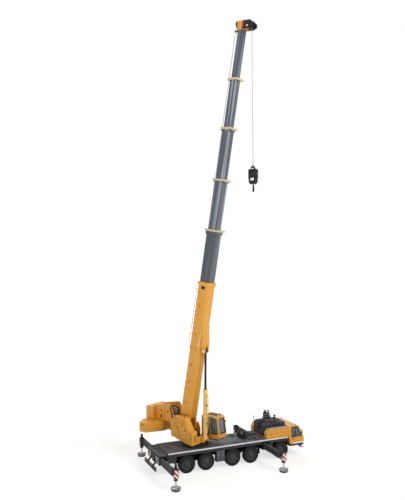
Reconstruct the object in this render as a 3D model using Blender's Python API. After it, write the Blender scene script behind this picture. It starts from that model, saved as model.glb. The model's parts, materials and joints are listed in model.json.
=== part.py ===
"""Die-cast scale model of a five-axle mobile crane, at 1:50.

The sizes below are millimetres of the model.  X runs forward along the carrier, Y to its left and
Z up.  The carrier is drawn about the slewing axis, the boom about its foot pin with the boom level;
empties then swing the upper works, raise the boom and bring the whole model over its origin.
"""
import math

import bmesh
import bpy
from mathutils import Matrix, Vector

MM = 0.001
GAP = 0.3              # clearance between pieces that touch on the real model

# Wheels and axles
TYRE_RADIUS = 13.7
TYRE_WIDTH = 7.6
BODY_WIDTH = 55.0
HUB_BORE = 1.8
STUB_RADIUS = 1.5
KINGPIN_Y = 17.0
KINGPIN_RADIUS = 1.6
KINGPIN_LENGTH = 6.4
JAW_THICK = 1.3
AXLE_THICK = 4.3
AXLE_LONG = 5.0
# name, place along the carrier, steered
AXLES = [
    ("1", 143.4, True),
    ("2", 86.6, True),
    ("3", 53.6, False),
    ("4", 7.2, True),
    ("5", -25.8, True),
]

# Carrier
FRAME_WIDTH = 18.0
FRAME_REAR = -70.9
FRAME_FRONT = 155.0
FRAME_TOP = 30.7
DECK_REAR = -57.5
DECK_TOP = 34.4
DECK_THICK = 3.4
SIDE_BOX_REAR = 116.0
CAB_REAR = 158.0
CAB_FRONT = 188.4
CAB_ROOF = 51.0
CAB_BOTTOM = 20.5
WALL = 1.0
COVER_REAR = 117.0
COVER_TOP = 56.5
COVER_WIDTH = 35.0
REST_X = 83.0
REST_TOP = 46.6
PLATE_THICK = 0.8
SKIRT_LOW = 28.0
SKIRT_THICK = 1.2
GUARD_HALF = 27.0
BUMPER_THICK = 2.8

# Outriggers
OUTRIGGER_X = {"front": 114.2, "rear": -65.4}
JACK_Y = 81.4
HOUSING_LONG = 12.4
HOUSING_HIGH = 12.2
HOUSING_LOW = 18.2
HOUSING_WALL = 1.2
BEAM_WIDE = 4.4
BEAM_END = 22.4        # inner end of a beam that is run out, inside the mouth of its housing
JACK_BOX = 6.6
JACK_LOW = 17.0
JACK_TOP = 29.6
JACK_ROD = 1.3
FLOAT_RADIUS = 7.0
FLOAT_THICK = 5.0
ROD_TOP = 18.6

# Upper works
SLEW_DEG = -63.3
RING_RADIUS = 21.0
PLATFORM_LOW = 39.6
PLATFORM_THICK = 3.0
PLATFORM_FRONT = 14.4
PLATFORM_LEFT = 25.0
HOUSING_RIGHT = 26.0
CHEEK_Y = 11.0         # inner faces of the turret cheeks
CHEEK_THICK = 2.2
CW_LOW = 48.0
CW_TOP = 64.0
CW_FRONT = -58.5
CW_BACK = -94.0
WINCH_X = -52.0
WINCH_Z = 78.0
WINCH_RADIUS = 7.0
CRANE_CAB_REAR = 1.0
CRANE_CAB_FRONT = 38.0
CRANE_CAB_Y = (13.6, 32.0)
CRANE_CAB_LOW = 43.2
CRANE_CAB_TOP = 80.0

# Boom, level, from its foot pin
LUFF_DEG = 79.5
FOOT_PIN = (-9.6, 60.6)
BOOM_RISE = 7.5        # the boom's centre line above its foot pin
BASE_START = 15.0
BASE_END = 237.6
BASE_COLLAR = 5.6
SECTION_LENGTH = 216.0
# name, width, height, wall, run out from the piece before, collar length
SECTIONS = [
    ("boom_base", 19.0, 20.0, 0.7, 0.0, BASE_COLLAR),
    ("boom_section_1", 17.0, 18.0, 0.6, 76.4, 8.4),
    ("boom_section_2", 15.2, 16.2, 0.6, 75.0, 5.2),
    ("boom_section_3", 13.4, 14.4, 0.6, 75.0, 6.0),
    ("boom_section_4", 11.5, 12.6, 0.6, 73.0, 3.6),
    ("boom_section_5", 9.5, 10.6, 0.6, 73.6, 0.0),
]
COLLAR_PROUD = 1.3
HEAD_LENGTH = 13.6
HEAD_WIDE = 12.0
HEAD_HIGH = 14.0
SHEAVE_AHEAD = 4.6     # sheave centre past the start of the head
SHEAVE_DROP = 12.2     # and below the boom's centre line
SHEAVE_RADIUS = 4.8
SHEAVE_WIDE = 5.6
SHEAVE_BORE = 1.1
HEAD_CHEEK = 1.4

# Luffing cylinder
CYLINDER_FOOT = (19.6, 46.4)
CYLINDER_PIN = (128.0, -7.8)   # along the boom and above its foot pin
BARREL_LENGTH = 78.0
BARREL_RADIUS = 3.5
BARREL_BORE = 2.2
ROD_RADIUS = 1.9
ROD_START = 60.0

# Hoist
ROPE_LENGTH = 217.0
ROPE_RADIUS = 0.4
BLOCK_HIGH = 27.0
BLOCK_WIDE = 13.4
BLOCK_THICK = 6.6
HOOK_TURN = -50.0

YELLOW = (0.80, 0.42, 0.07)
SLATE = (0.13, 0.14, 0.16)
CREAM = (0.72, 0.60, 0.33)
DECK_GREY = (0.10, 0.10, 0.11)
BLACK = (0.02, 0.02, 0.022)
SILVER = (0.55, 0.56, 0.58)
GLASS = (0.10, 0.13, 0.15)
ROPE_GREY = (0.45, 0.45, 0.45)

for old in list(bpy.data.objects):
    bpy.data.objects.remove(old, do_unlink=True)


# ---------------------------------------------------------------- shapes

def solid(bm):
    """A temporary object from a bmesh drawn in millimetres, its faces turned outwards."""
    bmesh.ops.scale(bm, vec=(MM, MM, MM), verts=bm.verts)
    bmesh.ops.recalc_face_normals(bm, faces=bm.faces)
    mesh = bpy.data.meshes.new("shape")
    bm.to_mesh(mesh)
    bm.free()
    shape = bpy.data.objects.new("shape", mesh)
    bpy.context.scene.collection.objects.link(shape)
    return shape


def prism(outline, axis, low, high):
    """An outline of (y, z), (x, z) or (x, y) points drawn out along x, y or z."""
    place = {"x": lambda a, b, c: (c, a, b), "y": lambda a, b, c: (a, c, b), "z": lambda a, b, c: (a, b, c)}
    bm = bmesh.new()
    ends = [[bm.verts.new(place[axis](a, b, c)) for a, b in outline] for c in (low, high)]
    bm.faces.new(ends[0])
    bm.faces.new(ends[1])
    count = len(outline)
    for i in range(count):
        j = (i + 1) % count
        bm.faces.new((ends[0][i], ends[0][j], ends[1][j], ends[1][i]))
    return solid(bm)


def block(x, y, z):
    """A box from its (low, high) pairs."""
    return prism([(x[0], y[0]), (x[1], y[0]), (x[1], y[1]), (x[0], y[1])], "z", z[0], z[1])


def bar(start, end, radius, sides=16):
    """A round bar between two points."""
    start, end = Vector(start), Vector(end)
    turn = (end - start).to_track_quat("Z", "Y").to_matrix().to_4x4()
    bm = bmesh.new()
    bmesh.ops.create_cone(bm, cap_ends=True, segments=sides, radius1=radius, radius2=radius,
                          depth=(end - start).length,
                          matrix=Matrix.Translation((start + end) / 2) @ turn)
    return solid(bm)


def turned(profile, axis, centre=(0, 0, 0), sides=24):
    """A ring whose closed profile of (radius, height) points goes round an axis through centre."""
    place = {"y": lambda r, h, c, s: (r * c, h, r * s), "z": lambda r, h, c, s: (r * c, r * s, h)}
    bm = bmesh.new()
    rings = []
    for k in range(sides):
        angle = 2 * math.pi * k / sides
        spots = [place[axis](r, h, math.cos(angle), math.sin(angle)) for r, h in profile]
        rings.append([bm.verts.new(Vector(spot) + Vector(centre)) for spot in spots])
    for k, ring in enumerate(rings):
        after = rings[(k + 1) % sides]
        for i in range(len(profile)):
            j = (i + 1) % len(profile)
            bm.faces.new((ring[i], ring[j], after[j], after[i]))
    return solid(bm)


def inset(outline, wall):
    """The outline moved in by one wall thickness; its points run anticlockwise."""
    moved = []
    count = len(outline)
    for i in range(count):
        before, here, after = (Vector(outline[(i + k) % count]) for k in (-1, 0, 1))
        along_in = (here - before).normalized()
        along_out = (after - here).normalized()
        normal_in = Vector((-along_in.y, along_in.x))
        normal_out = Vector((-along_out.y, along_out.x))
        corner = (normal_in + normal_out) / (1 + normal_in.dot(normal_out))
        moved.append(tuple(here + corner * wall))
    return moved


def rounded(wide, high, radius, steps=3):
    """A box section, centred, whose two lower corners are arcs."""
    points = [(wide / 2, high / 2), (-wide / 2, high / 2)]
    for side in (-1, 1):
        centre = (side * (wide / 2 - radius), -high / 2 + radius)
        start = math.pi if side < 0 else 1.5 * math.pi
        for k in range(steps + 1):
            angle = start + k * math.pi / 2 / steps
            points.append((centre[0] + radius * math.cos(angle), centre[1] + radius * math.sin(angle)))
    return points


def combine(base, tools, operation):
    """Runs one Boolean for each tool and leaves the result as the base's own mesh."""
    for tool in tools:
        step = base.modifiers.new("step", "BOOLEAN")
        step.operation = operation
        step.solver = "EXACT"
        step.object = tool
    graph = bpy.context.evaluated_depsgraph_get()
    mesh = bpy.data.meshes.new_from_object(base.evaluated_get(graph))
    base.modifiers.clear()
    base.data = mesh
    for tool in tools:
        bpy.data.objects.remove(tool, do_unlink=True)
    return base


def join(base, *tools):
    return combine(base, tools, "UNION")


def cut(base, *tools):
    return combine(base, tools, "DIFFERENCE")


# ---------------------------------------------------------------- nodes

def finish(name, colour, roughness, metallic):
    material = bpy.data.materials.new(name)
    material.use_nodes = True
    shader = material.node_tree.nodes["Principled BSDF"]
    shader.inputs["Base Color"].default_value = (*colour, 1.0)
    shader.inputs["Roughness"].default_value = roughness
    shader.inputs["Metallic"].default_value = metallic
    return material


def node(name, shape, parent, colour, place=(0, 0, 0), roughness=0.4, metallic=0.0):
    """Names a finished shape, gives it its material and hangs it on its parent."""
    shape.name = name
    shape.data.name = name
    shape.data.materials.clear()
    shape.data.materials.append(finish(name, colour, roughness, metallic))
    shape.data.shade_smooth()
    shape.data.set_sharp_from_angle(angle=math.radians(35))
    shape.parent = parent
    shape.location = Vector(place) * MM
    return shape


def empty(name, parent=None, place=(0, 0, 0), turn=(0, 0, 0)):
    marker = bpy.data.objects.new(name, None)
    bpy.context.scene.collection.objects.link(marker)
    marker.parent = parent
    marker.location = Vector(place) * MM
    marker.rotation_euler = [math.radians(a) for a in turn]
    return marker


root = empty("model")
carrier = empty("carrier", root)
upper = empty("upper_works", carrier, turn=(0, 0, SLEW_DEG))
boom = empty("boom_foot", upper, (FOOT_PIN[0], 0, FOOT_PIN[1]), (0, -LUFF_DEG, 0))


# ---------------------------------------------------------------- running gear

HALF_BODY = BODY_WIDTH / 2
WHEEL_Y = HALF_BODY - TYRE_WIDTH / 2
JAW_OUT = KINGPIN_Y + KINGPIN_RADIUS + 0.2
AXLE_END = KINGPIN_Y - KINGPIN_RADIUS - 0.5
STUB_END = WHEEL_Y + 1.0


def wheel_shape(side):
    """Tyre and dished rim as one turned ring; side is +1 where the dish faces +Y."""
    half = TYRE_WIDTH / 2
    profile = [
        (HUB_BORE, -1.0), (7.2, -1.0), (8.2, -half + 0.5), (12.7, -half), (TYRE_RADIUS, -half + 0.9),
        (TYRE_RADIUS, half - 0.9), (12.7, half), (8.4, half - 0.3), (7.2, 0.6), (3.6, 0.6),
        (3.2, 1.6), (HUB_BORE, 1.6),
    ]
    return turned([(r, side * h) for r, h in profile], "y")


def axle_shape(steered):
    """A beam with a forked end for each kingpin, or with plain stubs where nothing steers."""
    long = AXLE_LONG / 2
    low, high = -AXLE_THICK / 2, AXLE_THICK / 2
    if not steered:
        beam = block((-long, long), (-AXLE_END, AXLE_END), (low, high))
        return join(beam, bar((0, -STUB_END, 0), (0, STUB_END, 0), STUB_RADIUS))
    reach = KINGPIN_LENGTH / 2 + GAP
    beam = block((-long, long), (-JAW_OUT, JAW_OUT), (-reach - JAW_THICK, reach + JAW_THICK))
    forks = [block((-long - 1, long + 1), (s * AXLE_END, s * (JAW_OUT + 1)), (-reach, reach)) for s in (-1, 1)]
    middle = AXLE_END - 1.7
    waists = [block((-long - 1, long + 1), (-middle, middle), (s * high, s * (reach + 3))) for s in (-1, 1)]
    return cut(beam, *forks, *waists)


def knuckle_shape(side):
    """Kingpin barrel, stub axle and steering arm, about the kingpin."""
    half = KINGPIN_LENGTH / 2
    barrel = bar((0, 0, -half), (0, 0, half), KINGPIN_RADIUS, 12)
    stub = bar((0, 0, 0), (0, side * (STUB_END - KINGPIN_Y), 0), STUB_RADIUS, 12)
    arm = block((-6.0, 0.0), (-0.8, 0.8), (-0.8, 0.8))
    return join(barrel, stub, arm)


for name, x, steered in AXLES:
    node("axle_" + name, axle_shape(steered), carrier, BLACK, (x, 0, TYRE_RADIUS))
    for side, word in ((-1, "right"), (1, "left")):
        if steered:
            pin = (x, side * KINGPIN_Y, TYRE_RADIUS)
            node(f"knuckle_{name}_{word}", knuckle_shape(side), carrier, BLACK, pin)
        centre = (x, side * WHEEL_Y, TYRE_RADIUS)
        node(f"wheel_{name}_{word}", wheel_shape(side), carrier, BLACK, centre, 0.7)


# ---------------------------------------------------------------- carrier

FRAME_LOW = TYRE_RADIUS + AXLE_THICK / 2 + GAP
BEAM_LOW = HOUSING_LOW + HOUSING_WALL + GAP
BEAM_HIGH = HOUSING_LOW + HOUSING_HIGH - HOUSING_WALL - GAP
TOOL_BOX_X = (24.2, 38.6)
TOOL_BOX_Y = (20.2, 27.2)
TOOL_BOX_LOW = 10.6


def chassis_shape():
    """Spine, the two outrigger housings, the tool boxes between axles 3 and 4, and the bumper."""
    half = FRAME_WIDTH / 2
    spine = block((FRAME_REAR, FRAME_FRONT), (-half, half), (FRAME_LOW, FRAME_TOP))
    tongue_top = CAB_BOTTOM - GAP
    tongue = block((FRAME_FRONT - 5, CAB_FRONT - 10), (-half, half), (tongue_top - BUMPER_THICK, tongue_top))
    bumper = block((161, CAB_FRONT - 0.8), (-26.8, 26.8), (tongue_top - BUMPER_THICK, tongue_top))
    carriers = block((28, 34), (-TOOL_BOX_Y[0] - 1, TOOL_BOX_Y[0] + 1), (24, 30))
    boxes = [block(TOOL_BOX_X, sorted((s * TOOL_BOX_Y[0], s * TOOL_BOX_Y[1])), (TOOL_BOX_LOW, SKIRT_LOW - GAP))
             for s in (-1, 1)]
    frame = join(spine, tongue, bumper, carriers, *boxes)
    half_long = HOUSING_LONG / 2
    housings = [block((x - half_long, x + half_long), (-HALF_BODY + 0.5, HALF_BODY - 0.5),
                      (HOUSING_LOW, HOUSING_LOW + HOUSING_HIGH)) for x in OUTRIGGER_X.values()]
    hollow = half_long - HOUSING_WALL
    bores = [block((x - hollow, x + hollow), (-HALF_BODY - 1, HALF_BODY + 1),
                   (HOUSING_LOW + HOUSING_WALL, HOUSING_LOW + HOUSING_HIGH - HOUSING_WALL))
             for x in OUTRIGGER_X.values()]
    return cut(join(frame, *housings), *bores)


def deck_shape():
    """The deck plate with its side skirts, cut away at the outriggers, and a panel behind each last wheel."""
    low = DECK_TOP - DECK_THICK
    plate = block((DECK_REAR, CAB_REAR - GAP), (-HALF_BODY, HALF_BODY), (low, DECK_TOP))
    skirts = []
    for side in (-1, 1):
        edge = sorted((side * (HALF_BODY - SKIRT_THICK), side * HALF_BODY))
        for rear, front, bottom in ((DECK_REAR, -44.5, 19.0), (-45.5, 107.4, SKIRT_LOW), (121.2, 127.0, 22.0),
                                    (126.0, CAB_REAR - GAP, SKIRT_LOW)):
            skirts.append(block((rear, front), edge, (bottom, low + 1)))
    return join(plate, *skirts)


def side_boxes_shape():
    """The box over each front wheel, joined by the plate that the engine cover stands on."""
    low = DECK_TOP + GAP
    front = CAB_REAR - 2 * GAP
    plate = block((SIDE_BOX_REAR, front), (-HALF_BODY + 0.1, HALF_BODY - 0.1), (low, low + PLATE_THICK))
    outline = [(SIDE_BOX_REAR, low), (front, low), (front, 50), (SIDE_BOX_REAR + 4.5, 50), (SIDE_BOX_REAR, 44)]
    boxes = [prism(outline, "y", *sorted((s * 19.0, s * (HALF_BODY - 0.1)))) for s in (-1, 1)]
    return join(plate, *boxes)


def engine_cover_shape():
    """A box on the side boxes' plate, with a channel for the lowered luffing cylinder."""
    low = DECK_TOP + PLATE_THICK + 2 * GAP
    front = CAB_REAR - 2 * GAP
    outline = [(COVER_REAR, low), (front, low), (front, COVER_TOP), (COVER_REAR + 2.5, COVER_TOP),
               (COVER_REAR, COVER_TOP - 3)]
    cover = prism(outline, "y", -COVER_WIDTH / 2, COVER_WIDTH / 2)
    channel = block((COVER_REAR - 1, 128), (-6, 6), (44, COVER_TOP + 1))
    return cut(cover, channel)


def exhaust_shape():
    """Two silencers on one foot, the rear one with its pipe, standing on the engine cover."""
    low = COVER_TOP + GAP
    foot = block((-4.4, 9.2), (-3.4, 3.4), (low, low + 1.4))
    cans = [bar((x, 0, low + 1), (x, 0, low + high), radius) for x, high, radius in ((0, 9.4, 3.7), (5.6, 8.2, 3.0))]
    pipe = bar((0, 0, low + 8), (0, 0, low + 13.2), 2.0)
    return join(foot, *cans, pipe)


def boom_rest_shape():
    """A cradle across the deck, with a horn at each end."""
    low = DECK_TOP + GAP
    outline = [(-12, low), (12, low), (12, REST_TOP), (10, REST_TOP), (7, 41), (-7, 41), (-10, REST_TOP),
               (-12, REST_TOP)]
    return prism(outline, "x", REST_X - 2.5, REST_X + 2.5)


def rear_guard_shape():
    """The underrun guard: two bars across the tail, their uprights, and two arms to the frame."""
    x = FRAME_REAR - 6.0
    bars = [block((x - 0.9, x + 0.9), (-GUARD_HALF, GUARD_HALF), (z - 0.8, z + 0.8)) for z in (11.0, 14.8)]
    posts = [block((x - 0.7, x + 0.7), (y - 0.8, y + 0.8), (10.6, 15.2)) for y in (-25, -12, 12, 25)]
    frame_face = OUTRIGGER_X["rear"] - HOUSING_LONG / 2 - GAP
    arms = []
    for y in (-12, 12):
        outline = [(x, 14.2), (x + 1.6, 14.2), (frame_face, 19.0), (frame_face, 22.0), (x - 0.6, 15.4)]
        arms.append(prism(outline, "y", y - 1.0, y + 1.0))
    return join(bars[0], bars[1], *posts, *arms)


CAB_SIDE = [
    (162.0, CAB_BOTTOM), (CAB_FRONT - 0.6, CAB_BOTTOM), (CAB_FRONT, 24.0), (CAB_FRONT, 30.5),
    (178.0, CAB_ROOF - 0.8), (175.0, CAB_ROOF), (CAB_REAR, CAB_ROOF), (CAB_REAR, DECK_TOP + GAP),
    (159.4, DECK_TOP + GAP), (161.0, 23.0),
]
CAB_HALF = HALF_BODY - 0.2


def driver_cab_shape():
    """A folded shell with a window in each side and a windscreen."""
    shell = prism(CAB_SIDE, "y", -CAB_HALF, CAB_HALF)
    room = prism(inset(CAB_SIDE, WALL), "y", -CAB_HALF + WALL, CAB_HALF - WALL)
    side = [(164.5, 32.5), (183.0, 32.5), (183.8, 34.0), (177.0, 46.5), (175.0, 48.5), (166.0, 48.5),
            (164.5, 47.0)]
    windows = prism(side, "y", -CAB_HALF - 1, CAB_HALF + 1)
    screen = block((178.6, CAB_FRONT + 1), (-CAB_HALF + 3, CAB_HALF - 3), (33.5, 47.5))
    return cut(shell, room, windows, screen)


def driver_cab_windows_shape():
    """One clear moulding that lines the cab behind its windows."""
    outer = inset(CAB_SIDE, WALL + GAP)
    inner = inset(CAB_SIDE, WALL + GAP + 0.6)
    side = CAB_HALF - WALL - GAP
    liner = prism(outer, "y", -side, side)
    room = prism(inner, "y", -side + 0.6, side - 0.6)
    below = block((140, 200), (-40, 40), (10, 31.5))
    above = block((140, 200), (-40, 40), (49.2, 60))
    behind = block((140, 163.5), (-40, 40), (10, 60))
    return cut(liner, room, below, above, behind)


def driver_cab_seats_shape():
    """Floor, two seats and dashboard as one moulding."""
    floor_z = CAB_BOTTOM + WALL + GAP
    floor = block((163, 186), (-24, 24), (floor_z, floor_z + 1.2))
    parts = []
    for y in (-13, 13):
        parts.append(block((164.5, 173), (y - 5, y + 5), (floor_z + 1, floor_z + 8)))
        parts.append(block((164.5, 167), (y - 5, y + 5), (floor_z + 7, floor_z + 19)))
    parts.append(block((181, 185), (-22, 22), (floor_z + 1, floor_z + 9.5)))
    return join(floor, *parts)


node("chassis_frame", chassis_shape(), carrier, BLACK)
node("carrier_deck", deck_shape(), carrier, DECK_GREY)
node("front_side_boxes", side_boxes_shape(), carrier, YELLOW)
node("engine_cover", engine_cover_shape(), carrier, DECK_GREY)
node("exhaust_stack", exhaust_shape(), carrier, SILVER, (139.0, 14.0 + 3.6, 0), 0.35, 0.6)
node("boom_rest", boom_rest_shape(), carrier, BLACK)
node("rear_guard", rear_guard_shape(), carrier, BLACK)
node("driver_cab", driver_cab_shape(), carrier, YELLOW)
node("driver_cab_windows", driver_cab_windows_shape(), carrier, GLASS, roughness=0.05)
node("driver_cab_seats", driver_cab_seats_shape(), carrier, BLACK)


# ---------------------------------------------------------------- outriggers

def beam_shape(side, inner):
    """A beam beside its twin, and the jack's tube at its outer end; inner is the end in the housing."""
    low, high = sorted((side * GAP, side * (GAP + BEAM_WIDE)))
    beam = block((low, high), sorted((side * inner, side * (JACK_Y - JACK_BOX / 2 + 1))), (BEAM_LOW, BEAM_HIGH))
    half = JACK_BOX / 2
    tube = block((-half, half), sorted((side * (JACK_Y - half), side * (JACK_Y + half))), (JACK_LOW, JACK_TOP))
    skirt = bar((0, side * JACK_Y, JACK_LOW - 3), (0, side * JACK_Y, JACK_LOW + 1), half - 0.6)
    bore = bar((0, side * JACK_Y, JACK_LOW - 4), (0, side * JACK_Y, JACK_TOP - 1), JACK_ROD + GAP, 12)
    return cut(join(beam, tube, skirt), bore)


def jack_shape():
    """Rod, float plate and pad, turned about the rod."""
    plate = bar((0, 0, 0), (0, 0, 2.2), FLOAT_RADIUS - 0.8, 24)
    top = bar((0, 0, 2.0), (0, 0, 3.8), FLOAT_RADIUS, 24)
    boss = bar((0, 0, 3.6), (0, 0, FLOAT_THICK + 1), 3.0, 12)
    rod = bar((0, 0, FLOAT_THICK), (0, 0, ROD_TOP), JACK_ROD, 12)
    return join(plate, top, boss, rod)


for end, x in OUTRIGGER_X.items():
    for side, word in ((-1, "right"), (1, "left")):
        node(f"outrigger_beam_{end}_{word}", beam_shape(side, BEAM_END), carrier, DECK_GREY, (x, 0, 0))
        node(f"jack_{end}_{word}", jack_shape(), carrier, SILVER, (x, side * JACK_Y, 0), 0.3, 0.8)


# ---------------------------------------------------------------- upper works

CHEEK_OUT = CHEEK_Y + CHEEK_THICK
PLATFORM_TOP = PLATFORM_LOW + PLATFORM_THICK


def platform_shape():
    """Slewing ring, floor plate, turret cheeks, cylinder lugs and the frame that holds the winch."""
    ring = bar((0, 0, DECK_TOP + GAP), (0, 0, PLATFORM_LOW - GAP), RING_RADIUS, 32)
    neck = bar((0, 0, PLATFORM_LOW - 1), (0, 0, PLATFORM_LOW + 1), CHEEK_OUT - 1, 24)
    floor = prism([(-30, -CHEEK_OUT), (PLATFORM_FRONT, -CHEEK_OUT), (PLATFORM_FRONT, PLATFORM_LEFT),
                   (-22, PLATFORM_LEFT), (-30, 18)], "z", PLATFORM_LOW, PLATFORM_TOP)
    wall = block((PLATFORM_FRONT - 2.4, PLATFORM_FRONT), (-CHEEK_OUT, 11.6), (PLATFORM_LOW, 50))
    cheek = [(-30, PLATFORM_LOW + 1), (-1, PLATFORM_LOW + 1), (-1, 58), (-4.6, 66), (-14.6, 66), (-26, 63),
             (-36, 74), (-44, 92), (-48, 93.5), (CW_BACK + 4, 85), (CW_BACK + 4, CW_TOP + GAP),
             (CW_FRONT + GAP, CW_TOP + GAP), (CW_FRONT + GAP, 54), (-34, 50)]
    cheeks = [prism(cheek, "y", *sorted((s * CHEEK_Y, s * CHEEK_OUT))) for s in (-1, 1)]
    tail = block((CW_FRONT + GAP, CW_FRONT + 6), (-CHEEK_OUT, CHEEK_OUT), (54, 62))
    back = block((CW_BACK, -77), (-19, 19), (CW_TOP + GAP, 85.5))
    lugs = []
    foot_x, foot_z = CYLINDER_FOOT
    for side in (-1, 1):
        outline = [(PLATFORM_FRONT - 1, 40.5), (foot_x + 2.4, 42), (foot_x + 3.2, foot_z),
                   (foot_x + 1, foot_z + 3.2), (PLATFORM_FRONT - 1, 50)]
        lugs.append(prism(outline, "y", *sorted((side * (BARREL_RADIUS + GAP), side * 6.0))))
    return join(ring, neck, floor, wall, *cheeks, tail, back, *lugs)


def machinery_shape():
    """The housing down the right side of the upper works."""
    outline = [(0, 41.5), (PLATFORM_FRONT, PLATFORM_LOW), (PLATFORM_FRONT, 60), (9, 60.6), (-2, 79.4),
               (-10, 80), (-31.5, 75.5), (-30, 48), (-17, 46)]
    return prism(outline, "y", -HOUSING_RIGHT, -CHEEK_OUT - GAP)


def counterweight_shape():
    """A slab with cut-off corners behind the frame."""
    half = [(CW_FRONT, 14), (CW_FRONT - 15, 40), (CW_FRONT - 28.5, 41.6), (CW_BACK, 24)]
    outline = half + [(x, -y) for x, y in reversed(half)]
    return prism(outline, "z", CW_LOW, CW_TOP)


CRANE_CAB_SIDE = [
    (CRANE_CAB_REAR, CRANE_CAB_LOW), (36.0, CRANE_CAB_LOW + 1.5), (CRANE_CAB_FRONT, 47.0),
    (CRANE_CAB_FRONT, 54.0), (34.4, 77.0), (31.0, CRANE_CAB_TOP), (5.0, CRANE_CAB_TOP), (CRANE_CAB_REAR, 77.0),
]


def crane_cab_shape():
    """The operator's cab: a shell with windows cut in both sides, the front and the roof."""
    low, high = CRANE_CAB_Y
    shell = prism(CRANE_CAB_SIDE, "y", low, high)
    room = prism(inset(CRANE_CAB_SIDE, WALL), "y", low + WALL, high - WALL)
    side = [(12.0, 51.5), (32.0, 51.5), (35.0, 54.0), (32.0, 74.6), (30.4, 76.2), (5.5, 76.2), (4.0, 74.5),
            (4.0, 63.0)]
    windows = prism(side, "y", low - 1, high + 1)
    screen = block((31.6, CRANE_CAB_FRONT + 1), (low + 2, high - 2), (53.0, 75.5))
    return cut(shell, room, windows, screen)


def crane_cab_windows_shape():
    """One clear moulding that lines the operator's cab."""
    low, high = CRANE_CAB_Y[0] + WALL + GAP, CRANE_CAB_Y[1] - WALL - GAP
    liner = prism(inset(CRANE_CAB_SIDE, WALL + GAP), "y", low, high)
    room = prism(inset(CRANE_CAB_SIDE, WALL + GAP + 0.6), "y", low + 0.6, high - 0.6)
    below = block((-10, 50), (0, 40), (30, 49.5))
    above = block((-10, 50), (0, 40), (77.6, 90))
    behind = block((-10, 3.2), (0, 40), (30, 90))
    return cut(liner, room, below, above, behind)


def crane_seat_shape():
    """Seat, console and floor in one moulding."""
    floor_z = CRANE_CAB_LOW + 1.5 + WALL + GAP
    floor = block((3, 34), (15, 29), (floor_z, floor_z + 1.2))
    cushion = block((9, 19), (17, 27), (floor_z + 1, floor_z + 9))
    backrest = block((8, 11), (17, 27), (floor_z + 8, floor_z + 24))
    console = block((30, 33), (17, 27), (floor_z + 1, floor_z + 6))
    return join(floor, cushion, backrest, console)


def drum_shape():
    """The rope drum between the frame's plates, about its own axis."""
    half = CHEEK_Y - GAP
    profile = [(0.8, -half), (WINCH_RADIUS, -half), (WINCH_RADIUS, -half + 1.2), (5.4, -half + 1.2),
               (5.4, half - 1.2), (WINCH_RADIUS, half - 1.2), (WINCH_RADIUS, half), (0.8, half)]
    return turned(profile, "y", sides=20)


cab_hinge = empty("crane_cab_hinge", upper, (CRANE_CAB_REAR, 0, CRANE_CAB_LOW))


def in_cab(shape):
    """Moves a shape drawn about the slewing axis so that it is drawn about the cab's hinge."""
    shape.data.transform(Matrix.Translation(-cab_hinge.location))
    return shape


node("slewing_platform", platform_shape(), upper, YELLOW)
node("machinery_housing", machinery_shape(), upper, YELLOW)
node("counterweight", counterweight_shape(), upper, YELLOW)
node("crane_cab", in_cab(crane_cab_shape()), cab_hinge, YELLOW)
node("crane_cab_windows", in_cab(crane_cab_windows_shape()), cab_hinge, GLASS, roughness=0.05)
node("crane_seat", in_cab(crane_seat_shape()), cab_hinge, BLACK)
node("hoist_drum", drum_shape(), upper, DECK_GREY, (WINCH_X, 0, WINCH_Z))


# ---------------------------------------------------------------- boom

def tube(x_low, x_high, wide, high, wall, radius):
    """A length of box section with rounded lower corners, open at both ends."""
    shape = prism(rounded(wide, high, radius), "x", x_low, x_high)
    bore = prism(rounded(wide - 2 * wall, high - 2 * wall, radius - wall / 2), "x", x_low - 1, x_high + 1)
    return shape, bore


def base_shape(wide, high, wall):
    """The base section with its collar, foot ears and the lugs that take the luffing rod."""
    radius = 3.2
    outer, bore = tube(BASE_START, BASE_END, wide, high, wall, radius)
    collar = prism(rounded(wide + 2 * COLLAR_PROUD, high + 2 * COLLAR_PROUD, radius), "x",
                   BASE_END - BASE_COLLAR, BASE_END)
    ears = []
    lugs = []
    pin_x, pin_z = CYLINDER_PIN[0], CYLINDER_PIN[1] - BOOM_RISE
    for side in (-1, 1):
        outline = [(-4, -BOOM_RISE - 3.5), (4, -BOOM_RISE - 3.5), (BASE_START + 6, -high / 2 + 4),
                   (BASE_START + 6, high / 2 - 3), (BASE_START - 4, high / 2 - 3), (-5, -BOOM_RISE + 3)]
        ears.append(prism(outline, "y", *sorted((side * (wide / 2 - 3.5), side * wide / 2))))
        outline = [(pin_x - 5, -high / 2 + 0.4), (pin_x - 2.5, pin_z - 2.4), (pin_x + 3, pin_z - 2.4),
                   (pin_x + 26, -high / 2 + 0.4)]
        lugs.append(prism(outline, "y", *sorted((side * 3.0, side * 5.4))))
    return cut(join(outer, collar, *ears, *lugs), bore)


def section_shape(wide, high, wall, top, collar):
    """One telescope section, its collar at the top end."""
    radius = 3.0
    outer, bore = tube(top - collar - SECTION_LENGTH, top, wide, high, wall, radius)
    ring = prism(rounded(wide + 2 * COLLAR_PROUD, high + 2 * COLLAR_PROUD, radius), "x", top - collar, top)
    return cut(join(outer, ring), bore)


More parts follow.
